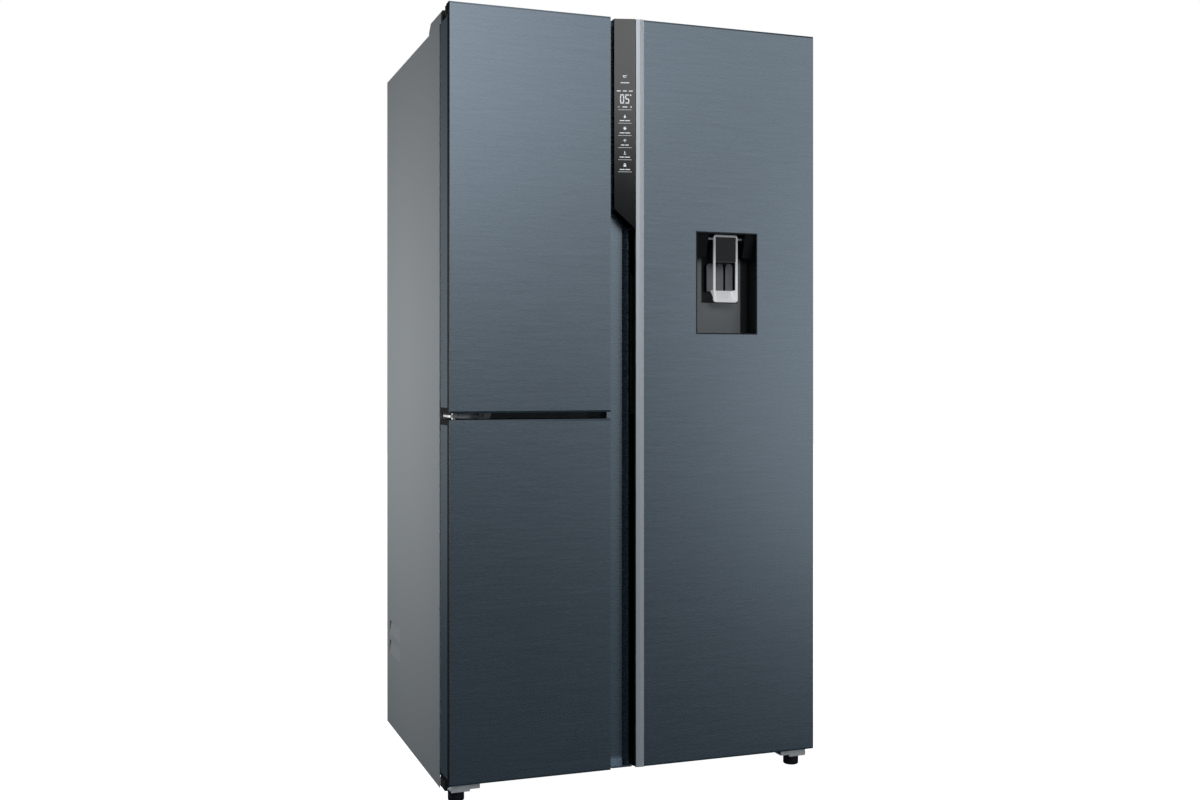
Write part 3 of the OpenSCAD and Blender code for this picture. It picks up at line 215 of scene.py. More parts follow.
class Finish(Board):
    """One material of the fridge."""

    def __init__(self, name):
        self.material = bpy.data.materials.new(name)
        self.material.use_nodes = True
        super().__init__(self.material.node_tree)

    def place(self):
        """The point in the object's own frame, in metres."""
        return self.node("TexCoord", out=3)

    def axes(self):
        """The x, y and z of the point, as three wires."""
        split = self.tree.nodes.new("ShaderNodeSeparateXYZ")
        self.tree.links.new(self.place().socket, split.inputs[0])
        return [Wire(self, split.outputs[i]) for i in range(3)]

    def noise(self, scale, detail=2.0, roughness=0.5):
        """Noise from 0 to 1, stretched by a scale for each axis, in cycles per metre."""
        if not hasattr(scale, "__len__"):
            scale = (scale,) * 3
        spread = self.node("VectorMath", {"operation": "MULTIPLY"}, {0: self.place(), 1: scale})
        sockets = {"Vector": spread, "Scale": 1.0, "Detail": detail, "Roughness": roughness}
        return self.node("TexNoise", sockets=sockets)

    def bump(self, height, distance, strength=1.0):
        return self.node("Bump", sockets={"Height": height, "Distance": distance, "Strength": strength})

    def surface(self, **sockets):
        """The one Principled shader of the material. Constants are set on its own sockets."""
        names = {
            "base": "Base Color", "rough": "Roughness", "metal": "Metallic", "coat": "Coat Weight",
            "coat_rough": "Coat Roughness", "normal": "Normal", "alpha": "Alpha", "glow": "Emission Color",
            "glow_strength": "Emission Strength", "through": "Transmission Weight", "ior": "IOR",
            "level": "Specular IOR Level", "inner": "Subsurface Weight", "inner_scale": "Subsurface Scale",
        }
        values = {}
        for key, value in sockets.items():
            if key in ("base", "glow") and not isinstance(value, Wire):
                value = opaque(value)
            values[names[key]] = value
        shader = self.node("BsdfPrincipled", sockets=values)
        output = self.tree.nodes.new("ShaderNodeOutputMaterial")
        self.tree.links.new(shader.socket, output.inputs["Surface"])
        return self.material


def settings(name):
    """One of the settings groups on the scene."""
    return getattr(bpy.context.scene, name)


# ------------------------------------------------------------------ finishes


def brushed_steel(name, colour, roughness, depth, across=9.0, fine=1500.0, coarse=560.0):
    """Coated steel with short horizontal brush strokes; the doors' outer corner edges are painted near-black
    as painted shade.
    """
    f = Finish(name)
    hair = f.noise((across * 1.8, across * 1.8, fine), detail=3, roughness=0.6)
    band = f.noise((across, across, coarse), detail=2)
    cloud = f.noise((2.2, 2.2, 3.0), detail=1)
    grain = hair * 0.45 + band * 0.45 + cloud * 0.1
    dark = tuple(c * (1 - depth) for c in colour)
    light = tuple(min(1, c * (1 + depth)) for c in colour)
    x, y, _ = f.axes()
    # painted shade: the outer corner edges of the doors are painted near-black, rougher and not metallic
    painted_shade_edge = ((x < LOW.x + PAINTED_SHADE_EDGE_FRONT) + (x > HIGH.x - PAINTED_SHADE_EDGE_FRONT)) * (y < LOW.y + PAINTED_SHADE_EDGE_SIDE)
    return f.surface(
        base=f.blend(painted_shade_edge, f.blend(f.smooth(grain, 0.36, 0.64), dark, light), (0.008, 0.010, 0.012)),
        metal=0.95 - painted_shade_edge * 0.95, rough=roughness - 0.04 + grain * 0.08 + painted_shade_edge * 0.35,
        normal=f.bump(hair, 0.03 * MM, 0.25), level=0.5,
    )


def painted_sheet(name, colour):
    """Satin paint with a light orange peel."""
    f = Finish(name)
    peel = f.noise(700, detail=2)
    cloud = f.noise((3, 3, 2), detail=2)
    tone = f.blend(cloud, tuple(c * 0.97 for c in colour), tuple(c * 1.03 for c in colour))
    return f.surface(
        base=tone, rough=0.40 + peel * 0.08, metal=0.0, normal=f.bump(peel, 0.06 * MM, 0.4), level=0.5,
    )


def satin_strip(name, colour):
    """Anodised strip with a fine grain along its length."""
    f = Finish(name)
    grain = f.noise((900, 900, 14), detail=3)
    return f.surface(
        base=f.blend(grain, tuple(c * 0.95 for c in colour), tuple(min(1, c * 1.05) for c in colour)),
        metal=0.5, rough=0.36 + grain * 0.08, normal=f.bump(grain, 0.03 * MM, 0.3),
    )


def edge_trim_metal(colour):
    """The bright strip of the right door: its face is anodised; the flanges behind it, down in the slot, are
    painted near-black as painted shade.
    """
    f = Finish("trim_metal")
    _, y, _ = f.axes()
    # painted shade: everything behind the strip's face is painted near-black for the slot's shade
    flange = y > span("edge_trim")[0].y + 2.9 * MM
    grain = f.noise((900, 900, 14), detail=3)
    face = f.blend(grain, tuple(c * 0.95 for c in colour), tuple(min(1, c * 1.05) for c in colour))
    return f.surface(
        base=f.blend(flange, face, (0.006, 0.006, 0.007)), metal=0.6 - flange * 0.6,
        rough=0.36 + grain * 0.08 + flange * 0.2, normal=f.bump(grain, 0.03 * MM, 0.3),
    )


def moulded_black(name, tone=0.012, roughness=0.42, level=0.45, grain_scale=1500):
    """Black moulded plastic with a fine spark texture."""
    f = Finish(name)
    grain = f.noise(grain_scale, detail=2)
    wear = f.noise(20, detail=3)
    return f.surface(
        base=f.blend(wear, (tone * 0.9, tone * 0.95, tone), (tone * 1.15, tone * 1.2, tone * 1.3)),
        rough=roughness - 0.05 + grain * 0.12, normal=f.bump(grain, 0.05 * MM, 0.5), level=level,
    )


def moulded_white(name, colour=(0.82, 0.83, 0.84)):
    """Glossy white liner plastic."""
    f = Finish(name)
    flow = f.noise((6, 6, 4), detail=2)
    skin = f.noise(900, detail=2)
    return f.surface(
        base=f.blend(flow, tuple(c * 0.97 for c in colour), colour), rough=0.24 + skin * 0.08,
        normal=f.bump(skin, 0.03 * MM, 0.3), coat=0.25, coat_rough=0.15, inner=0.05, inner_scale=0.005,
    )


def clear_moulding(name, colour=(0.86, 0.92, 0.95), roughness=0.06):
    """Clear moulded plastic of bins, drawers and tank."""
    f = Finish(name)
    haze = f.noise((30, 30, 30), detail=2)
    return f.surface(
        base=f.blend(haze, tuple(c * 0.97 for c in colour), colour), rough=roughness + haze * 0.05,
        through=0.85, ior=1.46, alpha=0.75,
    )


def clear_glass(name):
    """Tempered shelf glass with a faint green cast."""
    f = Finish(name)
    film = f.noise((9, 9, 9), detail=2)
    return f.surface(
        base=f.blend(film, (0.80, 0.91, 0.88), (0.84, 0.94, 0.91)), rough=0.02 + film * 0.03, through=0.9,
        ior=1.5, alpha=0.8,
    )


def zinc_sheet(name, colour=(0.58, 0.59, 0.60), metal=0.9):
    """Galvanised sheet with its spangle."""
    f = Finish(name)
    cells = f.node("TexVoronoi", sockets={"Vector": f.place(), "Scale": 110.0, "Randomness": 1.0}, out=1)
    tone = f.node("RGBToBW", sockets={0: cells})
    fine = f.noise((60, 60, 500), detail=2)
    return f.surface(
        base=f.blend(
            tone * 0.7 + fine * 0.3, tuple(c * 0.84 for c in colour), tuple(c * 1.08 for c in colour)),
        metal=metal, rough=0.34 + tone * 0.14, normal=f.bump(fine, 0.03 * MM, 0.3),
    )


def seal_rubber(name):
    """Soft grey magnetic seal."""
    f = Finish(name)
    grain = f.noise(800, detail=2)
    return f.surface(
        base=f.blend(grain, (0.10, 0.105, 0.11), (0.14, 0.145, 0.15)), rough=0.62 + grain * 0.1,
        normal=f.bump(grain, 0.05 * MM, 0.4),
    )


def rigid_foam(name):
    """Yellow insulating foam with open cells."""
    f = Finish(name)
    cells = f.node("TexVoronoi", sockets={"Vector": f.place(), "Scale": 450.0}, out=0)
    cloud = f.noise(14, detail=3)
    return f.surface(
        base=f.blend(cloud, (0.74, 0.60, 0.30), (0.84, 0.74, 0.44)), rough=0.85 + cloud * 0.1,
        normal=f.bump(cells, 0.5 * MM, 0.5),
    )


def mill_aluminium(name):
    """Thin evaporator fins and tubes."""
    f = Finish(name)
    grain = f.noise((200, 200, 900), detail=2)
    return f.surface(
        base=f.blend(grain, (0.66, 0.67, 0.68), (0.80, 0.81, 0.82)), metal=0.95, rough=0.30 + grain * 0.15,
        normal=f.bump(grain, 0.04 * MM, 0.4),
    )


def black_enamel(name):
    """Baked black paint on the compressor and the condenser coil."""
    f = Finish(name)
    peel = f.noise(420, detail=2)
    dust = f.noise(18, detail=4)
    return f.surface(
        base=f.blend(f.smooth(dust, 0.4, 0.75), (0.010, 0.010, 0.011), (0.035, 0.034, 0.032)),
        rough=0.28 + dust * 0.25, normal=f.bump(peel, 0.15 * MM, 0.4), coat=0.3, coat_rough=0.2,
    )


def lamp_diffuser(name):
    """Frosted lamp cover."""
    f = Finish(name)
    ribs = f.node("TexWave", {"bands_direction": "X"}, {"Vector": f.place(), "Scale": 120.0}, out=1)
    return f.surface(
        base=f.blend(ribs, (0.88, 0.88, 0.85), (0.95, 0.95, 0.92)), rough=0.35 + ribs * 0.1,
        normal=f.bump(ribs, 0.1 * MM, 0.4), glow=(1.0, 0.98, 0.93), glow_strength=0.15,
    )


def cover_shell():
    """Grey hinge covers whose front nose is black."""
    f = Finish("hinge_cover_plastic")
    _, y, _ = f.axes()
    grain = f.noise(1100, detail=2)
    nose = y < LOW.y + 92 * MM
    grey = settings("fridge_finishes").cabinet_colour
    return f.surface(
        base=f.blend(nose, tuple(c * 0.95 for c in grey), (0.010, 0.011, 0.012)), rough=0.38 + grain * 0.12,
        normal=f.bump(grain, 0.05 * MM, 0.4),
    )


def display_glass():
    """Black glass of the display strip, with a faint film."""
    f = Finish("display_glass")
    film = f.noise((25, 25, 8), detail=3)
    return f.surface(
        base=f.blend(film, (0.003, 0.004, 0.005), (0.006, 0.007, 0.008)), rough=0.11 + film * 0.04,
        level=0.72,
    )


def lever_metal():
    """Bright lever frame and pad, painted lighter towards the bottom and darker towards the top as painted
    shade, and glowing faintly as a painted highlight; the cover plate between its bars is dark plastic.
    """
    f = Finish("lever_metal")
    low, high = span("dispenser_lever")
    x, _, z = f.axes()
    bar = 5 * MM
    pin = 23 * MM
    plate_foot, pad_top, shade_start = 96 * MM, 35 * MM, 40 * MM
    inside = (x > low.x + pin + bar) * (x < high.x - pin - bar)
    plate = inside * (z > low.z + plate_foot) * (z < high.z - bar)
    pad = inside * (z < low.z + pad_top)
    grain = f.noise((400, 400, 60), detail=2)
    # painted shade: the frame runs from near-white at the bottom to grey at the top
    painted_shade_tone = f.blend(f.smooth(z, low.z + shade_start, high.z), (0.95, 0.96, 0.97), (0.62, 0.63, 0.65))
    grain_on_painted_shade = f.blend(grain * 0.3, painted_shade_tone, (0.96, 0.97, 0.98))
    # painted highlight: the frame and pad glow white at the bottom, fading towards the top
    painted_glow_tone = f.blend(f.smooth(z, low.z + shade_start, high.z), (1.0, 1.0, 1.0), (0.15, 0.15, 0.16))
    return f.surface(
        base=f.blend(pad, f.blend(plate, grain_on_painted_shade, (0.030, 0.032, 0.035)), (0.90, 0.91, 0.92)),
        metal=0.4 - plate * 0.4 - pad * 0.3, rough=0.22 + grain * 0.08 + plate * 0.25,
        normal=f.bump(grain, 0.02 * MM, 0.3), glow=f.blend(plate, painted_glow_tone, (0.0, 0.0, 0.0)), glow_strength=0.30,
    )


def grip_plastic():
    """Warm grey grip in the finger slot."""
    f = Finish("grip_plastic")
    grain = f.noise((900, 900, 900), detail=2)
    return f.surface(
        base=f.blend(grain, (0.060, 0.058, 0.060), (0.085, 0.081, 0.082)), rough=0.45 + grain * 0.12,
        normal=f.bump(grain, 0.06 * MM, 0.5),
    )


def recess_plastic():
    """Satin plastic of the dispenser's recess: black, with the back wall and the ribs painted grey as painted
    light on the back of the recess.
    """
    f = Finish("recess_plastic")
    low, high = span("dispenser_housing")
    x, y, _ = f.axes()
    wall_front, wall_back = low.y + 49.7 * MM, low.y + 50.3 * MM
    rib_front, rib_back = low.y + 54.7 * MM, low.y + 55.5 * MM
    left_rim, right_wall = 4 * MM, 21 * MM
    # painted light: the back wall and the ribs are painted grey, standing for light falling on the back of
    # the recess
    wall = (y > wall_front) * (y < wall_back) * (x > low.x + left_rim) * (x < high.x - right_wall)
    ribs = (y > rib_front) * (y < rib_back)
    grain = f.noise((1200, 1200, 1200), detail=2)
    cloud = f.noise((14, 14, 9), detail=2)
    black = f.blend(cloud, (0.008, 0.009, 0.010), (0.014, 0.015, 0.016))
    grey = f.blend(cloud, (0.30, 0.32, 0.335), (0.36, 0.38, 0.395))
    return f.surface(
        base=f.blend(wall + ribs, black, grey), rough=0.38 + grain * 0.12,
        normal=f.bump(grain, 0.05 * MM, 0.4),
    )


def marks_light():
    """Lit marks behind the display glass."""
    f = Finish("display_marks")
    flicker = f.noise((60, 60, 60), detail=1)
    return f.surface(
        base=f.blend(flicker, (0.70, 0.72, 0.74), (0.80, 0.82, 0.84)), rough=0.4, glow=(0.92, 0.96, 1.0),
        glow_strength=0.62,
    )


def steel_screw(name="screw_steel"):
    """Zinc-plated screw heads."""
    f = Finish(name)
    grain = f.noise(1500, detail=2)
    return f.surface(
        base=f.blend(grain, (0.50, 0.50, 0.49), (0.66, 0.66, 0.64)), metal=1.0, rough=0.24 + grain * 0.14,
        normal=f.bump(grain, 0.03 * MM, 0.4),
    )


def dress(material, *nodes):
    """Gives CAD nodes a material."""
    for name in nodes:
        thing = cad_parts[name]
        if not thing.material_slots:
            thing.data.materials.append(material)
        for place in thing.material_slots:
            place.material = material


# --------------------------------------------------------------- mesh making


class Maker:
    """Collects shapes in one mesh, in the row frame, in metres."""

    def __init__(self):
        self.mesh = bmesh.new()

    def prism(self, outline, origin, right, up, out, depth):
        """A flat outline of (u, v) points, raised by depth along out from a plane through origin."""
        base = [origin + right * u + up * v for u, v in outline]
        low = [self.mesh.verts.new(p) for p in base]
        top = [self.mesh.verts.new(p + out * depth) for p in base]
        count = len(base)
        self.mesh.faces.new(top)
        self.mesh.faces.new(low[::-1])
        for i in range(count):
            j = (i + 1) % count
            self.mesh.faces.new((low[i], low[j], top[j], top[i]))

    def rounded_block(self, low, high, radius):
        """A block with rounded edges."""
        made = bmesh.ops.create_cube(self.mesh, size=1)["verts"]
        size, middle = Vector(high) - Vector(low), (Vector(high) + Vector(low)) / 2
        place = Matrix.Translation(middle) @ Matrix.Diagonal((*size, 1))
        bmesh.ops.transform(self.mesh, matrix=place, verts=made)
        edges = {e for v in made for e in v.link_edges}
        bmesh.ops.bevel(
            self.mesh, geom=list(edges), offset=radius, segments=3, affect="EDGES", profile=0.6)

    def turned(self, profile, origin, axis, steps=32):
        """A turned shape: profile is (radius, height) points along axis from origin."""
        turn = Vector((0, 0, 1)).rotation_difference(Vector(axis)).to_matrix()
        rings = []
        for r, h in profile:
            if r < 1e-7:
                rings.append([self.mesh.verts.new(Vector(origin) + turn @ Vector((0, 0, h)))])
                continue
            rings.append([
                self.mesh.verts.new(Vector(origin) + turn @ Vector((
                    r * math.cos(2 * math.pi * i / steps), r * math.sin(2 * math.pi * i / steps), h)))
                for i in range(steps)
            ])
        for a, b in zip(rings, rings[1:]):
            for i in range(steps):
                j = (i + 1) % steps
                corners = [a[i % len(a)], a[j % len(a)], b[j % len(b)], b[i % len(b)]]
                unique = list(dict.fromkeys(corners))
                if len(unique) > 2:
                    self.mesh.faces.new(unique)
        if len(rings[0]) > 1:
            self.mesh.faces.new(rings[0][::-1])
        if len(rings[-1]) > 1:
            self.mesh.faces.new(rings[-1])

    def finish(self, name, body, material, smooth=False):
        """Makes the object, which rides on a body."""
        bmesh.ops.recalc_face_normals(self.mesh, faces=self.mesh.faces)
        data = bpy.data.meshes.new(name)
        self.mesh.to_mesh(data)
        self.mesh.free()
        data.materials.append(material)
        thing = bpy.data.objects.new(name, data)
        bpy.context.scene.collection.objects.link(thing)
        if smooth:
            data.shade_smooth()
            thing.modifiers.new("weighted", "WEIGHTED_NORMAL").keep_sharp = True
            data.set_sharp_from_angle(angle=math.radians(35))
        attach(thing, body)
        return thing


def circle(radius, steps=20):
    """The points of a circle about the origin."""
    turns = [2 * math.pi * i / steps for i in range(steps)]
    return [(radius * math.cos(a), radius * math.sin(a)) for a in turns]


def rect(u0, v0, u1, v1):
    """The four corners of a rectangle."""
    return [(u0, v0), (u1, v0), (u1, v1), (u0, v1)]


# ------------------------------------------------------------- display marks

DIGIT_BARS = {"0": "abcdef", "5": "afgcd"}


def seven_segment(digit, u, v, w, h, t):
    """The lit bars of a digit in a box of w by h whose lower left corner is (u, v)."""
    gap = t * 0.25
    half = h / 2
    bars = {
        "a": rect(u + gap, v + h - t, u + w - gap, v + h),
        "d": rect(u + gap, v, u + w - gap, v + t),
        "g": rect(u + gap + t / 2, v + half - t / 2, u + w - gap - t / 2, v + half + t / 2),
        "f": rect(u, v + half + gap, u + t, v + h - t - gap),
        "b": rect(u + w - t, v + half + gap, u + w, v + h - t - gap),
        "e": rect(u, v + t + gap, u + t, v + half - gap),
        "c": rect(u + w - t, v + t + gap, u + w, v + half - gap),
    }
    return [bars[k] for k in DIGIT_BARS[digit]]


def icon(kind, s):
    """Outlines of a generic icon about the origin, in a box of 2 s."""
    if kind == "drop":
        return [[(0, s), (s * 0.45, s * 0.2), (s * 0.6, -s * 0.25), (s * 0.4, -s * 0.7), (0, -s * 0.9),
                 (-s * 0.4, -s * 0.7), (-s * 0.6, -s * 0.25), (-s * 0.45, s * 0.2)]]
    if kind == "flake":
        arms = []
        for k in range(3):
            a = math.pi * k / 3
            c, n = math.cos(a), math.sin(a)
            arms.append([(x * c - y * n, x * n + y * c) for x, y in rect(-s, -s * 0.16, s, s * 0.16)])
        return arms
    if kind == "spread":
        return [[(-s, -s * 0.1), (0, s * 0.8), (s, -s * 0.1), (s * 0.55, -s * 0.1), (0, s * 0.35),
                 (-s * 0.55, -s * 0.1)],
                rect(-s * 0.16, -s * 0.8, s * 0.16, s * 0.1)]
    if kind == "leaf":
        return [[(-s * 0.2, s), (s * 0.2, s * 0.5), (s * 0.15, -s * 0.2), (-s * 0.1, -s * 0.4),
                 (-s * 0.35, 0)],
                rect(-s * 0.6, -s * 0.9, s * 0.7, -s * 0.6)]
    if kind == "lock":
        return [rect(-s * 0.7, -s * 0.8, s * 0.7, s * 0.15), rect(-s * 0.5, s * 0.15, -s * 0.25, s * 0.75),
                rect(s * 0.25, s * 0.15, s * 0.5, s * 0.75), rect(-s * 0.5, s * 0.7, s * 0.5, s * 0.95)]
    if kind == "lamp":
        return [rect(-s, s * 0.1, s, s * 0.4), rect(-s * 0.7, -s * 0.6, -s * 0.4, s * 0.1),
                rect(-s * 0.4, -s * 0.6, s * 0.5, -s * 0.3)]
    raise RuntimeError(f"no icon named {kind}")


# rows of buttons: the icon, the width of its caption, and how far the icon, the caption and the line
# under them are below the display strip's top, all in millimetres
BUTTON_ROWS = [
    ("drop", 24, 226, 235.5, 241.5),
    ("flake", 24, 253.5, 264, 270),
    ("spread", 18, 281.5, 292, 298),
    ("leaf", 24, 310, 320, 326),
    ("lock", 24, 338.5, 348.5, 354),
]


class FRIDGE_OT_display_marks(bpy.types.Operator):
    """Adds the display's generic icons, bars and temperature digits on its glass"""

    bl_idname = "fridge.display_marks"
    bl_label = "Display marks"

    def execute(self, context):
        low, high = span("display_panel")
        lean = 13.5 * MM
        width = high.x - low.x
        right = Vector((width, -lean, 0)).normalized()
        up = Vector((0, 0, 1))
        out = right.cross(up)
        middle = Vector(((low.x + high.x) / 2, low.y + lean / 2, 0))
        depth = settings("fridge_fittings").mark_height
        maker = Maker()

        def put(outlines, u, drop):
            """Adds outlines at u along the glass and drop millimetres below the strip's top."""
            z = high.z - drop * MM
            for outline in outlines:
                maker.prism([(u + a, z + b) for a, b in outline], middle, right, up, out, depth)

        def bar(drop, w, h, u=0.0):
            put([rect(-w / 2, -h / 2, w / 2, h / 2)], u, drop)

        def label(drop, w, words=2):
            """A row of short plain bars where a caption would be."""
            gap = 1.6 * MM
            each = (w - gap * (words - 1)) / words
            for k in range(words):
                bar(drop, each, 2.0 * MM, -w / 2 + each / 2 + k * (each + gap))

        lamp_drop, lamp_label_drop, mode_drop, digit_drop, dot_drop = 133, 148, 167, 196, 176.5
        status_drop, status_line_drop = 204, 210.5
        put(icon("lamp", 5 * MM), 0, lamp_drop)
        label(lamp_label_drop, 20 * MM, 1)
        for u in (-14, 0, 14):
            bar(mode_drop, 9 * MM, 2.2 * MM, u * MM)
        for digit, u in (("0", -11.2), ("5", 0.8)):
            put(seven_segment(digit, 0, 0, 9.6 * MM, 21 * MM, 2.5 * MM), u * MM, digit_drop)
        put([circle(1.7 * MM)], 13.4 * MM, dot_drop)
        bar(status_drop, 4 * MM, 1.2 * MM, -14 * MM)
        bar(status_drop, 11 * MM, 2.2 * MM)
        put([[(0, 2.6 * MM), (1.6 * MM, 0), (0, -2.6 * MM), (-1.6 * MM, 0)]], 14.5 * MM, status_drop)
        bar(status_line_drop, 30 * MM, 0.7 * MM)
        for kind, label_w, icon_drop, label_drop, line_drop in BUTTON_ROWS:
            put(icon(kind, 4.4 * MM), 0, icon_drop)
            label(label_drop, label_w * MM)
            bar(line_drop, 31 * MM, 0.7 * MM)
        maker.finish("display_marks", "right_door", marks_light())
        return {"FINISHED"}


# ------------------------------------------------------------ other fittings


class FRIDGE_OT_screws(bpy.types.Operator):
    """Adds the screws that hold the back sheet and the machine compartment's cover"""

    bl_idname = "fridge.screws"
    bl_label = "Panel screws"

    def execute(self, context):
        r = settings("fridge_fittings").screw_radius
        steel = steel_screw()
        back_low, back_high = span("rear_panel")
        cover_low, cover_high = span("machine_cover")
        plane = span("cabinet_shell")[1].y

        def head(maker, x, z):
            h = 1.3 * MM
            profile = [(r, 0), (r, h * 0.35), (r * 0.82, h * 0.85), (r * 0.5, h), (0, h)]
            maker.turned(profile, (x, plane, z), (0, 1, 0), steps=24)
            for a in (0.4, 0.4 + math.pi / 2):
                c, s = math.cos(a), math.sin(a)
                w = r * 0.16
                outline = [(x0 * c - y0 * s, x0 * s + y0 * c) for x0, y0 in rect(-r * 0.5, -w, r * 0.5, w)]
                maker.prism(outline, Vector((x, plane + h * 1.01, z)), Vector((1, 0, 0)), Vector((0, 0, 1)),
                            Vector((0, 1, 0)), 0.1 * MM)

        maker = Maker()
        inset = 9 * MM
        thirds = ((back_low.z * 2 + back_high.z) / 3, (back_low.z + back_high.z * 2) / 3)
        for z in (back_low.z + 40 * MM, *thirds, back_high.z - 30 * MM):
            for x in (back_low.x + inset, back_high.x - inset):
                head(maker, x, z)
        for x in (-0.22, 0, 0.22):
            head(maker, x, back_high.z - inset)
            head(maker, x, back_low.z + inset)
        for z in (cover_low.z + 24 * MM, (cover_low.z + cover_high.z) / 2, cover_high.z - 20 * MM):
            for x in (cover_low.x + inset, cover_high.x - inset):
                head(maker, x, z)
        for x in (-0.15, 0.2):
            head(maker, x, cover_high.z - inset)
        maker.finish("panel_screws", "cabinet", steel, smooth=True)
        return {"FINISHED"}


class FRIDGE_OT_corner_legs(bpy.types.Operator):
    """Adds the black plastic legs at the cabinet's front corners, beside the hinge brackets"""

    bl_idname = "fridge.corner_legs"
    bl_label = "Corner legs"

    def execute(self, context):
        hinge_low, hinge_high = span("bottom_hinges")
        maker = Maker()
        wide, clear, edge_radius = 7 * MM, 0.3 * MM, 1.2 * MM
        front, back = LOW.y + 45 * MM, LOW.y + 92 * MM
        foot, top = 26 * MM, 46 * MM
        for x in (hinge_low.x - clear - wide, hinge_high.x + clear):
            maker.rounded_block((x, front, foot), (x + wide, back, top), edge_radius)
        plastic = moulded_black("leg_plastic", 0.010)
        maker.finish("corner_legs", "cabinet", plastic, smooth=True)
        return {"FINISHED"}


# ------------------------------------------------------------------ dressing


class FRIDGE_OT_finish_cabinet(bpy.types.Operator):
    """Gives the cabinet's sheets, covers, hinges and feet their finishes"""

    bl_idname = "fridge.finish_cabinet"
    bl_label = "Cabinet finishes"

    def execute(self, context):
        look = settings("fridge_finishes")
        dress(painted_sheet("cabinet_paint", look.cabinet_colour), "cabinet_shell", "divider_strips")
        dress(cover_shell(), "hinge_covers")
        dress(zinc_sheet("galvanised_sheet"), "rear_panel", "bottom_pan", "compressor_base", "machine_cover")
        # painted highlight: the hinges' zinc is painted near-white with little metal, standing for the bright
        # reflections on them
        dress(zinc_sheet("hinge_steel_painted_highlight", (0.93, 0.94, 0.95), 0.2),
              "top_hinges", "middle_hinge", "bottom_hinges")
        dress(moulded_black("foot_plastic", 0.008), "left_foot", "right_foot", "rear_rollers", "cord_gland")
        dress(rigid_foam("cabinet_foam"), "insulation_foam")
        return {"FINISHED"}


class FRIDGE_OT_finish_doors(bpy.types.Operator):
    """Gives the doors, the handle channel and the edge trim their finishes"""

    bl_idname = "fridge.finish_doors"
    bl_label = "Door finishes"

    def execute(self, context):
        look = settings("fridge_finishes")
        dress(brushed_steel("door_steel", look.door_colour, look.door_roughness, look.streak_depth),
              "upper_door_panel", "lower_door_panel", "right_door_panel")
        channel = tuple(c * 1.18 for c in look.door_colour)
        dress(brushed_steel("channel_steel", channel, look.door_roughness, look.streak_depth * 0.3),
              "handle_channel")
        dress(edge_trim_metal(look.trim_colour), "edge_trim")
        # near-black with little shine: the top and bottom caps are black plastic; the thin bands along the
        # doors' edges are a painted dark reflection of the sheets' returned edges
        dress(moulded_black("door_caps_and_painted_dark_band", 0.003, 0.6, 0.12),
              "upper_door_frame", "lower_door_frame", "right_door_frame")
        dress(grip_plastic(), "grip_insert")
        dress(rigid_foam("door_foam"), "upper_door_foam", "lower_door_foam", "right_door_foam")
        dress(seal_rubber("seal_rubber"), "upper_door_gasket", "lower_door_gasket", "right_door_gasket")
        return {"FINISHED"}


class FRIDGE_OT_finish_inside(bpy.types.Operator):
    """Gives the liners, shelves, bins and drawers their finishes"""

    bl_idname = "fridge.finish_inside"
    bl_label = "Interior finishes"

    def execute(self, context):
        dress(moulded_white("liner_plastic"), "fridge_liner", "freezer_liner", "lower_liner",
              "evaporator_cover", "fridge_air_duct", "upper_door_liner", "lower_door_liner",
              "right_door_liner", "control_box")
        dress(clear_glass("shelf_glass"), "glass_shelves")
        dress(satin_strip("shelf_trim", (0.62, 0.63, 0.65)), "shelf_trims")
        dress(clear_moulding("clear_plastic"), "upper_door_bins", "lower_door_bins", "right_door_bins",
              "upper_crisper", "lower_crisper", "freezer_drawer", "lower_drawer", "water_tank")
        dress(lamp_diffuser("lamp_diffuser"), "lamps")
        return {"FINISHED"}


class FRIDGE_OT_finish_machinery(bpy.types.Operator):
    """Gives the cooling machinery its finishes"""

    bl_idname = "fridge.finish_machinery"
    bl_label = "Machinery finishes"

    def execute(self, context):
        dress(mill_aluminium("fin_aluminium"), "evaporator")
        dress(black_enamel("black_enamel"), "compressor", "condenser")
        dress(moulded_black("fan_plastic", 0.014),
              "fan_mounts", "evaporator_fan", "condenser_fan", "drain_pan")
        return {"FINISHED"}


class FRIDGE_OT_finish_dispenser(bpy.types.Operator):
    """Gives the display strip and the water dispenser their finishes"""

    bl_idname = "fridge.finish_dispenser"
    bl_label = "Dispenser finishes"

    def execute(self, context):
        dress(display_glass(), "display_panel")
        dress(recess_plastic(), "dispenser_housing")
        dress(lever_metal(), "dispenser_lever")
        return {"FINISHED"}


# --------------------------------------------------------------------- stage


def softbox(name, location, aim, size, power):
    """A square white lamp at a place, turned towards a point."""
    data = bpy.data.lights.new(name, "AREA")
    data.shape, data.size, data.size_y = "RECTANGLE", size, size
    data.energy = power
    thing = bpy.data.objects.new(name, data)
    thing.location = location
    thing.rotation_euler = (Vector(aim) - Vector(location)).to_track_quat("-Z", "Y").to_euler()
    thing.visible_camera = False
    bpy.context.scene.collection.objects.link(thing)


def direction(azimuth, elevation):
    """A unit vector: azimuth 0 is -Y, in front of the doors, and grows towards +X."""
    a, e = math.radians(azimuth), math.radians(elevation)
    return (math.sin(a) * math.cos(e), -math.cos(a) * math.cos(e), math.sin(e))


SOFT_PANELS = [
    # azimuth, elevation, inner and outer radius in degrees, strength
    (12, 15, 3, 12, 0.66),
    (10, 14, 4, 22, 0.24),
    (38, 18, 5, 18, 0.62),
    (35, -1, 8, 11, 0.77),
    (-6, 23, 12, 15, 2.2),
    (193, 3, 3, 16, 0.14),
    (10, 82, 12, 26, 0.55),
]
ROOM = (0.035, 0.050, 0.060)
# how far the camera stands left of the cabinet and in front of the doors, in metres, its turn to the
# right in degrees, and its vertical shift as a share of the frame's width
CAMERA_LEFT = 0.6762
CAMERA_AWAY = 2.8519
CAMERA_TURN = -19.84
CAMERA_SHIFT = -0.0163


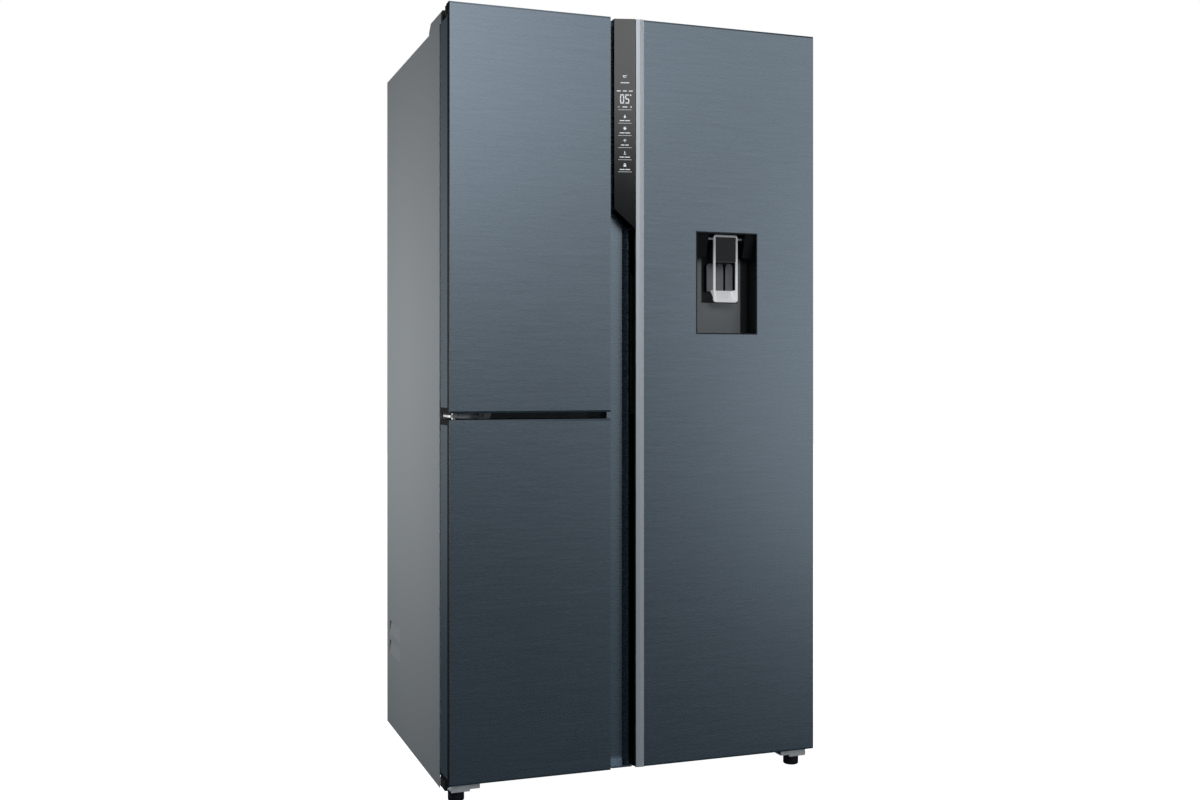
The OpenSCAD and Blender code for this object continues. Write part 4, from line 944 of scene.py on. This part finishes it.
def studio_world():
    """A pale backdrop for the camera; everything else sees a dim room with soft panels."""
    world = bpy.data.worlds.new("studio")
    world.use_nodes = True
    bpy.context.scene.world = world
    b = Board(world.node_tree)
    ray = b.node("TexCoord", out=0)
    glow = None
    for azimuth, elevation, inner, outer, strength in SOFT_PANELS:
        aim = direction(azimuth, elevation)
        facing = b.node("VectorMath", {"operation": "DOT_PRODUCT"}, {0: ray, 1: aim}, out=1)
        part = b.smooth(facing, math.cos(math.radians(outer)), math.cos(math.radians(inner))) * strength
        glow = part if glow is None else glow + part
    grey = b.node("CombineColor", sockets={0: glow, 1: glow, 2: glow})
    lit = b.node("Mix", {"data_type": "RGBA", "blend_type": "ADD"}, {0: 1.0, 6: opaque(ROOM), 7: grey}, out=2)
    seen = b.node("LightPath", out=0)
    shade = b.node("Background", sockets={"Color": b.blend(seen, lit, (1.0, 1.0, 1.0)), "Strength": 1.0})
    out = b.tree.nodes.new("ShaderNodeOutputWorld")
    b.tree.links.new(shade.socket, out.inputs[0])


def floor_paper():
    """Plain pale paper."""
    f = Finish("studio_floor")
    fibre = f.noise(300, detail=2)
    return f.surface(
        base=f.blend(fibre, (0.90, 0.90, 0.90), (0.92, 0.92, 0.92)), rough=0.9, level=0.1,
        glow=(1.0, 1.0, 1.0), glow_strength=1.0,
    )


class FRIDGE_OT_studio(bpy.types.Operator):
    """Adds the floor, the soft lights and the camera"""

    bl_idname = "fridge.studio"
    bl_label = "Studio"

    def execute(self, context):
        look = settings("fridge_studio")
        scene = context.scene
        maker = Maker()
        reach = 14.0
        along_x, along_y, along_z = Matrix.Identity(3)
        below, thickness = Vector((0, 0, -0.01)), 0.0099
        maker.prism(rect(-reach, -reach, reach, reach), below, along_x, along_y, along_z, thickness)
        bmesh.ops.recalc_face_normals(maker.mesh, faces=maker.mesh.faces)
        data = bpy.data.meshes.new("studio_floor")
        maker.mesh.to_mesh(data)
        maker.mesh.free()
        data.materials.append(floor_paper())
        floor = bpy.data.objects.new("studio_floor", data)
        scene.collection.objects.link(floor)
        floor.visible_glossy = False
        floor.visible_diffuse = False

        studio_world()
        away, along, height = 1.25, LOW.y + 0.6, 1.0
        softbox("side_softbox", (LOW.x - away, along, height), (LOW.x, along, height), 0.7, look.side_light)

        camera = bpy.data.objects.new("camera", bpy.data.cameras.new("camera"))
        camera.data.sensor_width = 36
        camera.data.lens = look.focal_length
        camera.data.shift_y = CAMERA_SHIFT
        camera.location = (LOW.x - CAMERA_LEFT, LOW.y - CAMERA_AWAY, look.eye_height)
        camera.rotation_euler = (math.pi / 2, 0, math.radians(CAMERA_TURN))
        scene.collection.objects.link(camera)
        scene.camera = camera
        scene.view_settings.view_transform = "Standard"
        return {"FINISHED"}


# --------------------------------------------------------------------- panel

STEPS = [
    FRIDGE_OT_finish_cabinet, FRIDGE_OT_finish_doors, FRIDGE_OT_finish_inside, FRIDGE_OT_finish_machinery,
    FRIDGE_OT_finish_dispenser, FRIDGE_OT_display_marks, FRIDGE_OT_screws, FRIDGE_OT_corner_legs,
    FRIDGE_OT_studio,
]
GROUPS = {"fridge_finishes": FridgeFinishes, "fridge_fittings": FridgeFittings, "fridge_studio": FridgeStudio}


class FRIDGE_PT_builder(bpy.types.Panel):
    """Lists the fridge's finishes and fittings"""

    bl_idname = "FRIDGE_PT_builder"
    bl_label = "Fridge"
    bl_space_type = "VIEW_3D"
    bl_region_type = "UI"
    bl_category = "Fridge"

    def draw(self, context):
        for name, group in GROUPS.items():
            box = self.layout.box()
            box.label(text=group.__name__)
            for key in group.__annotations__:
                box.prop(getattr(context.scene, name), key)
        for step in STEPS:
            self.layout.operator(step.bl_idname)


def register():
    for cls in (*GROUPS.values(), *STEPS, FRIDGE_PT_builder):
        bpy.utils.register_class(cls)
    for name, group in GROUPS.items():
        setattr(bpy.types.Scene, name, PointerProperty(type=group))


def unregister():
    for name in GROUPS:
        delattr(bpy.types.Scene, name)
    for cls in reversed((*GROUPS.values(), *STEPS, FRIDGE_PT_builder)):
        bpy.utils.unregister_class(cls)


def main():
    register()
    for step in STEPS:
        group, name = step.bl_idname.split(".")
        if getattr(getattr(bpy.ops, group), name)() != {"FINISHED"}:
            raise RuntimeError(f"{step.bl_label} did not finish")


if __name__ == "__main__":
    main()
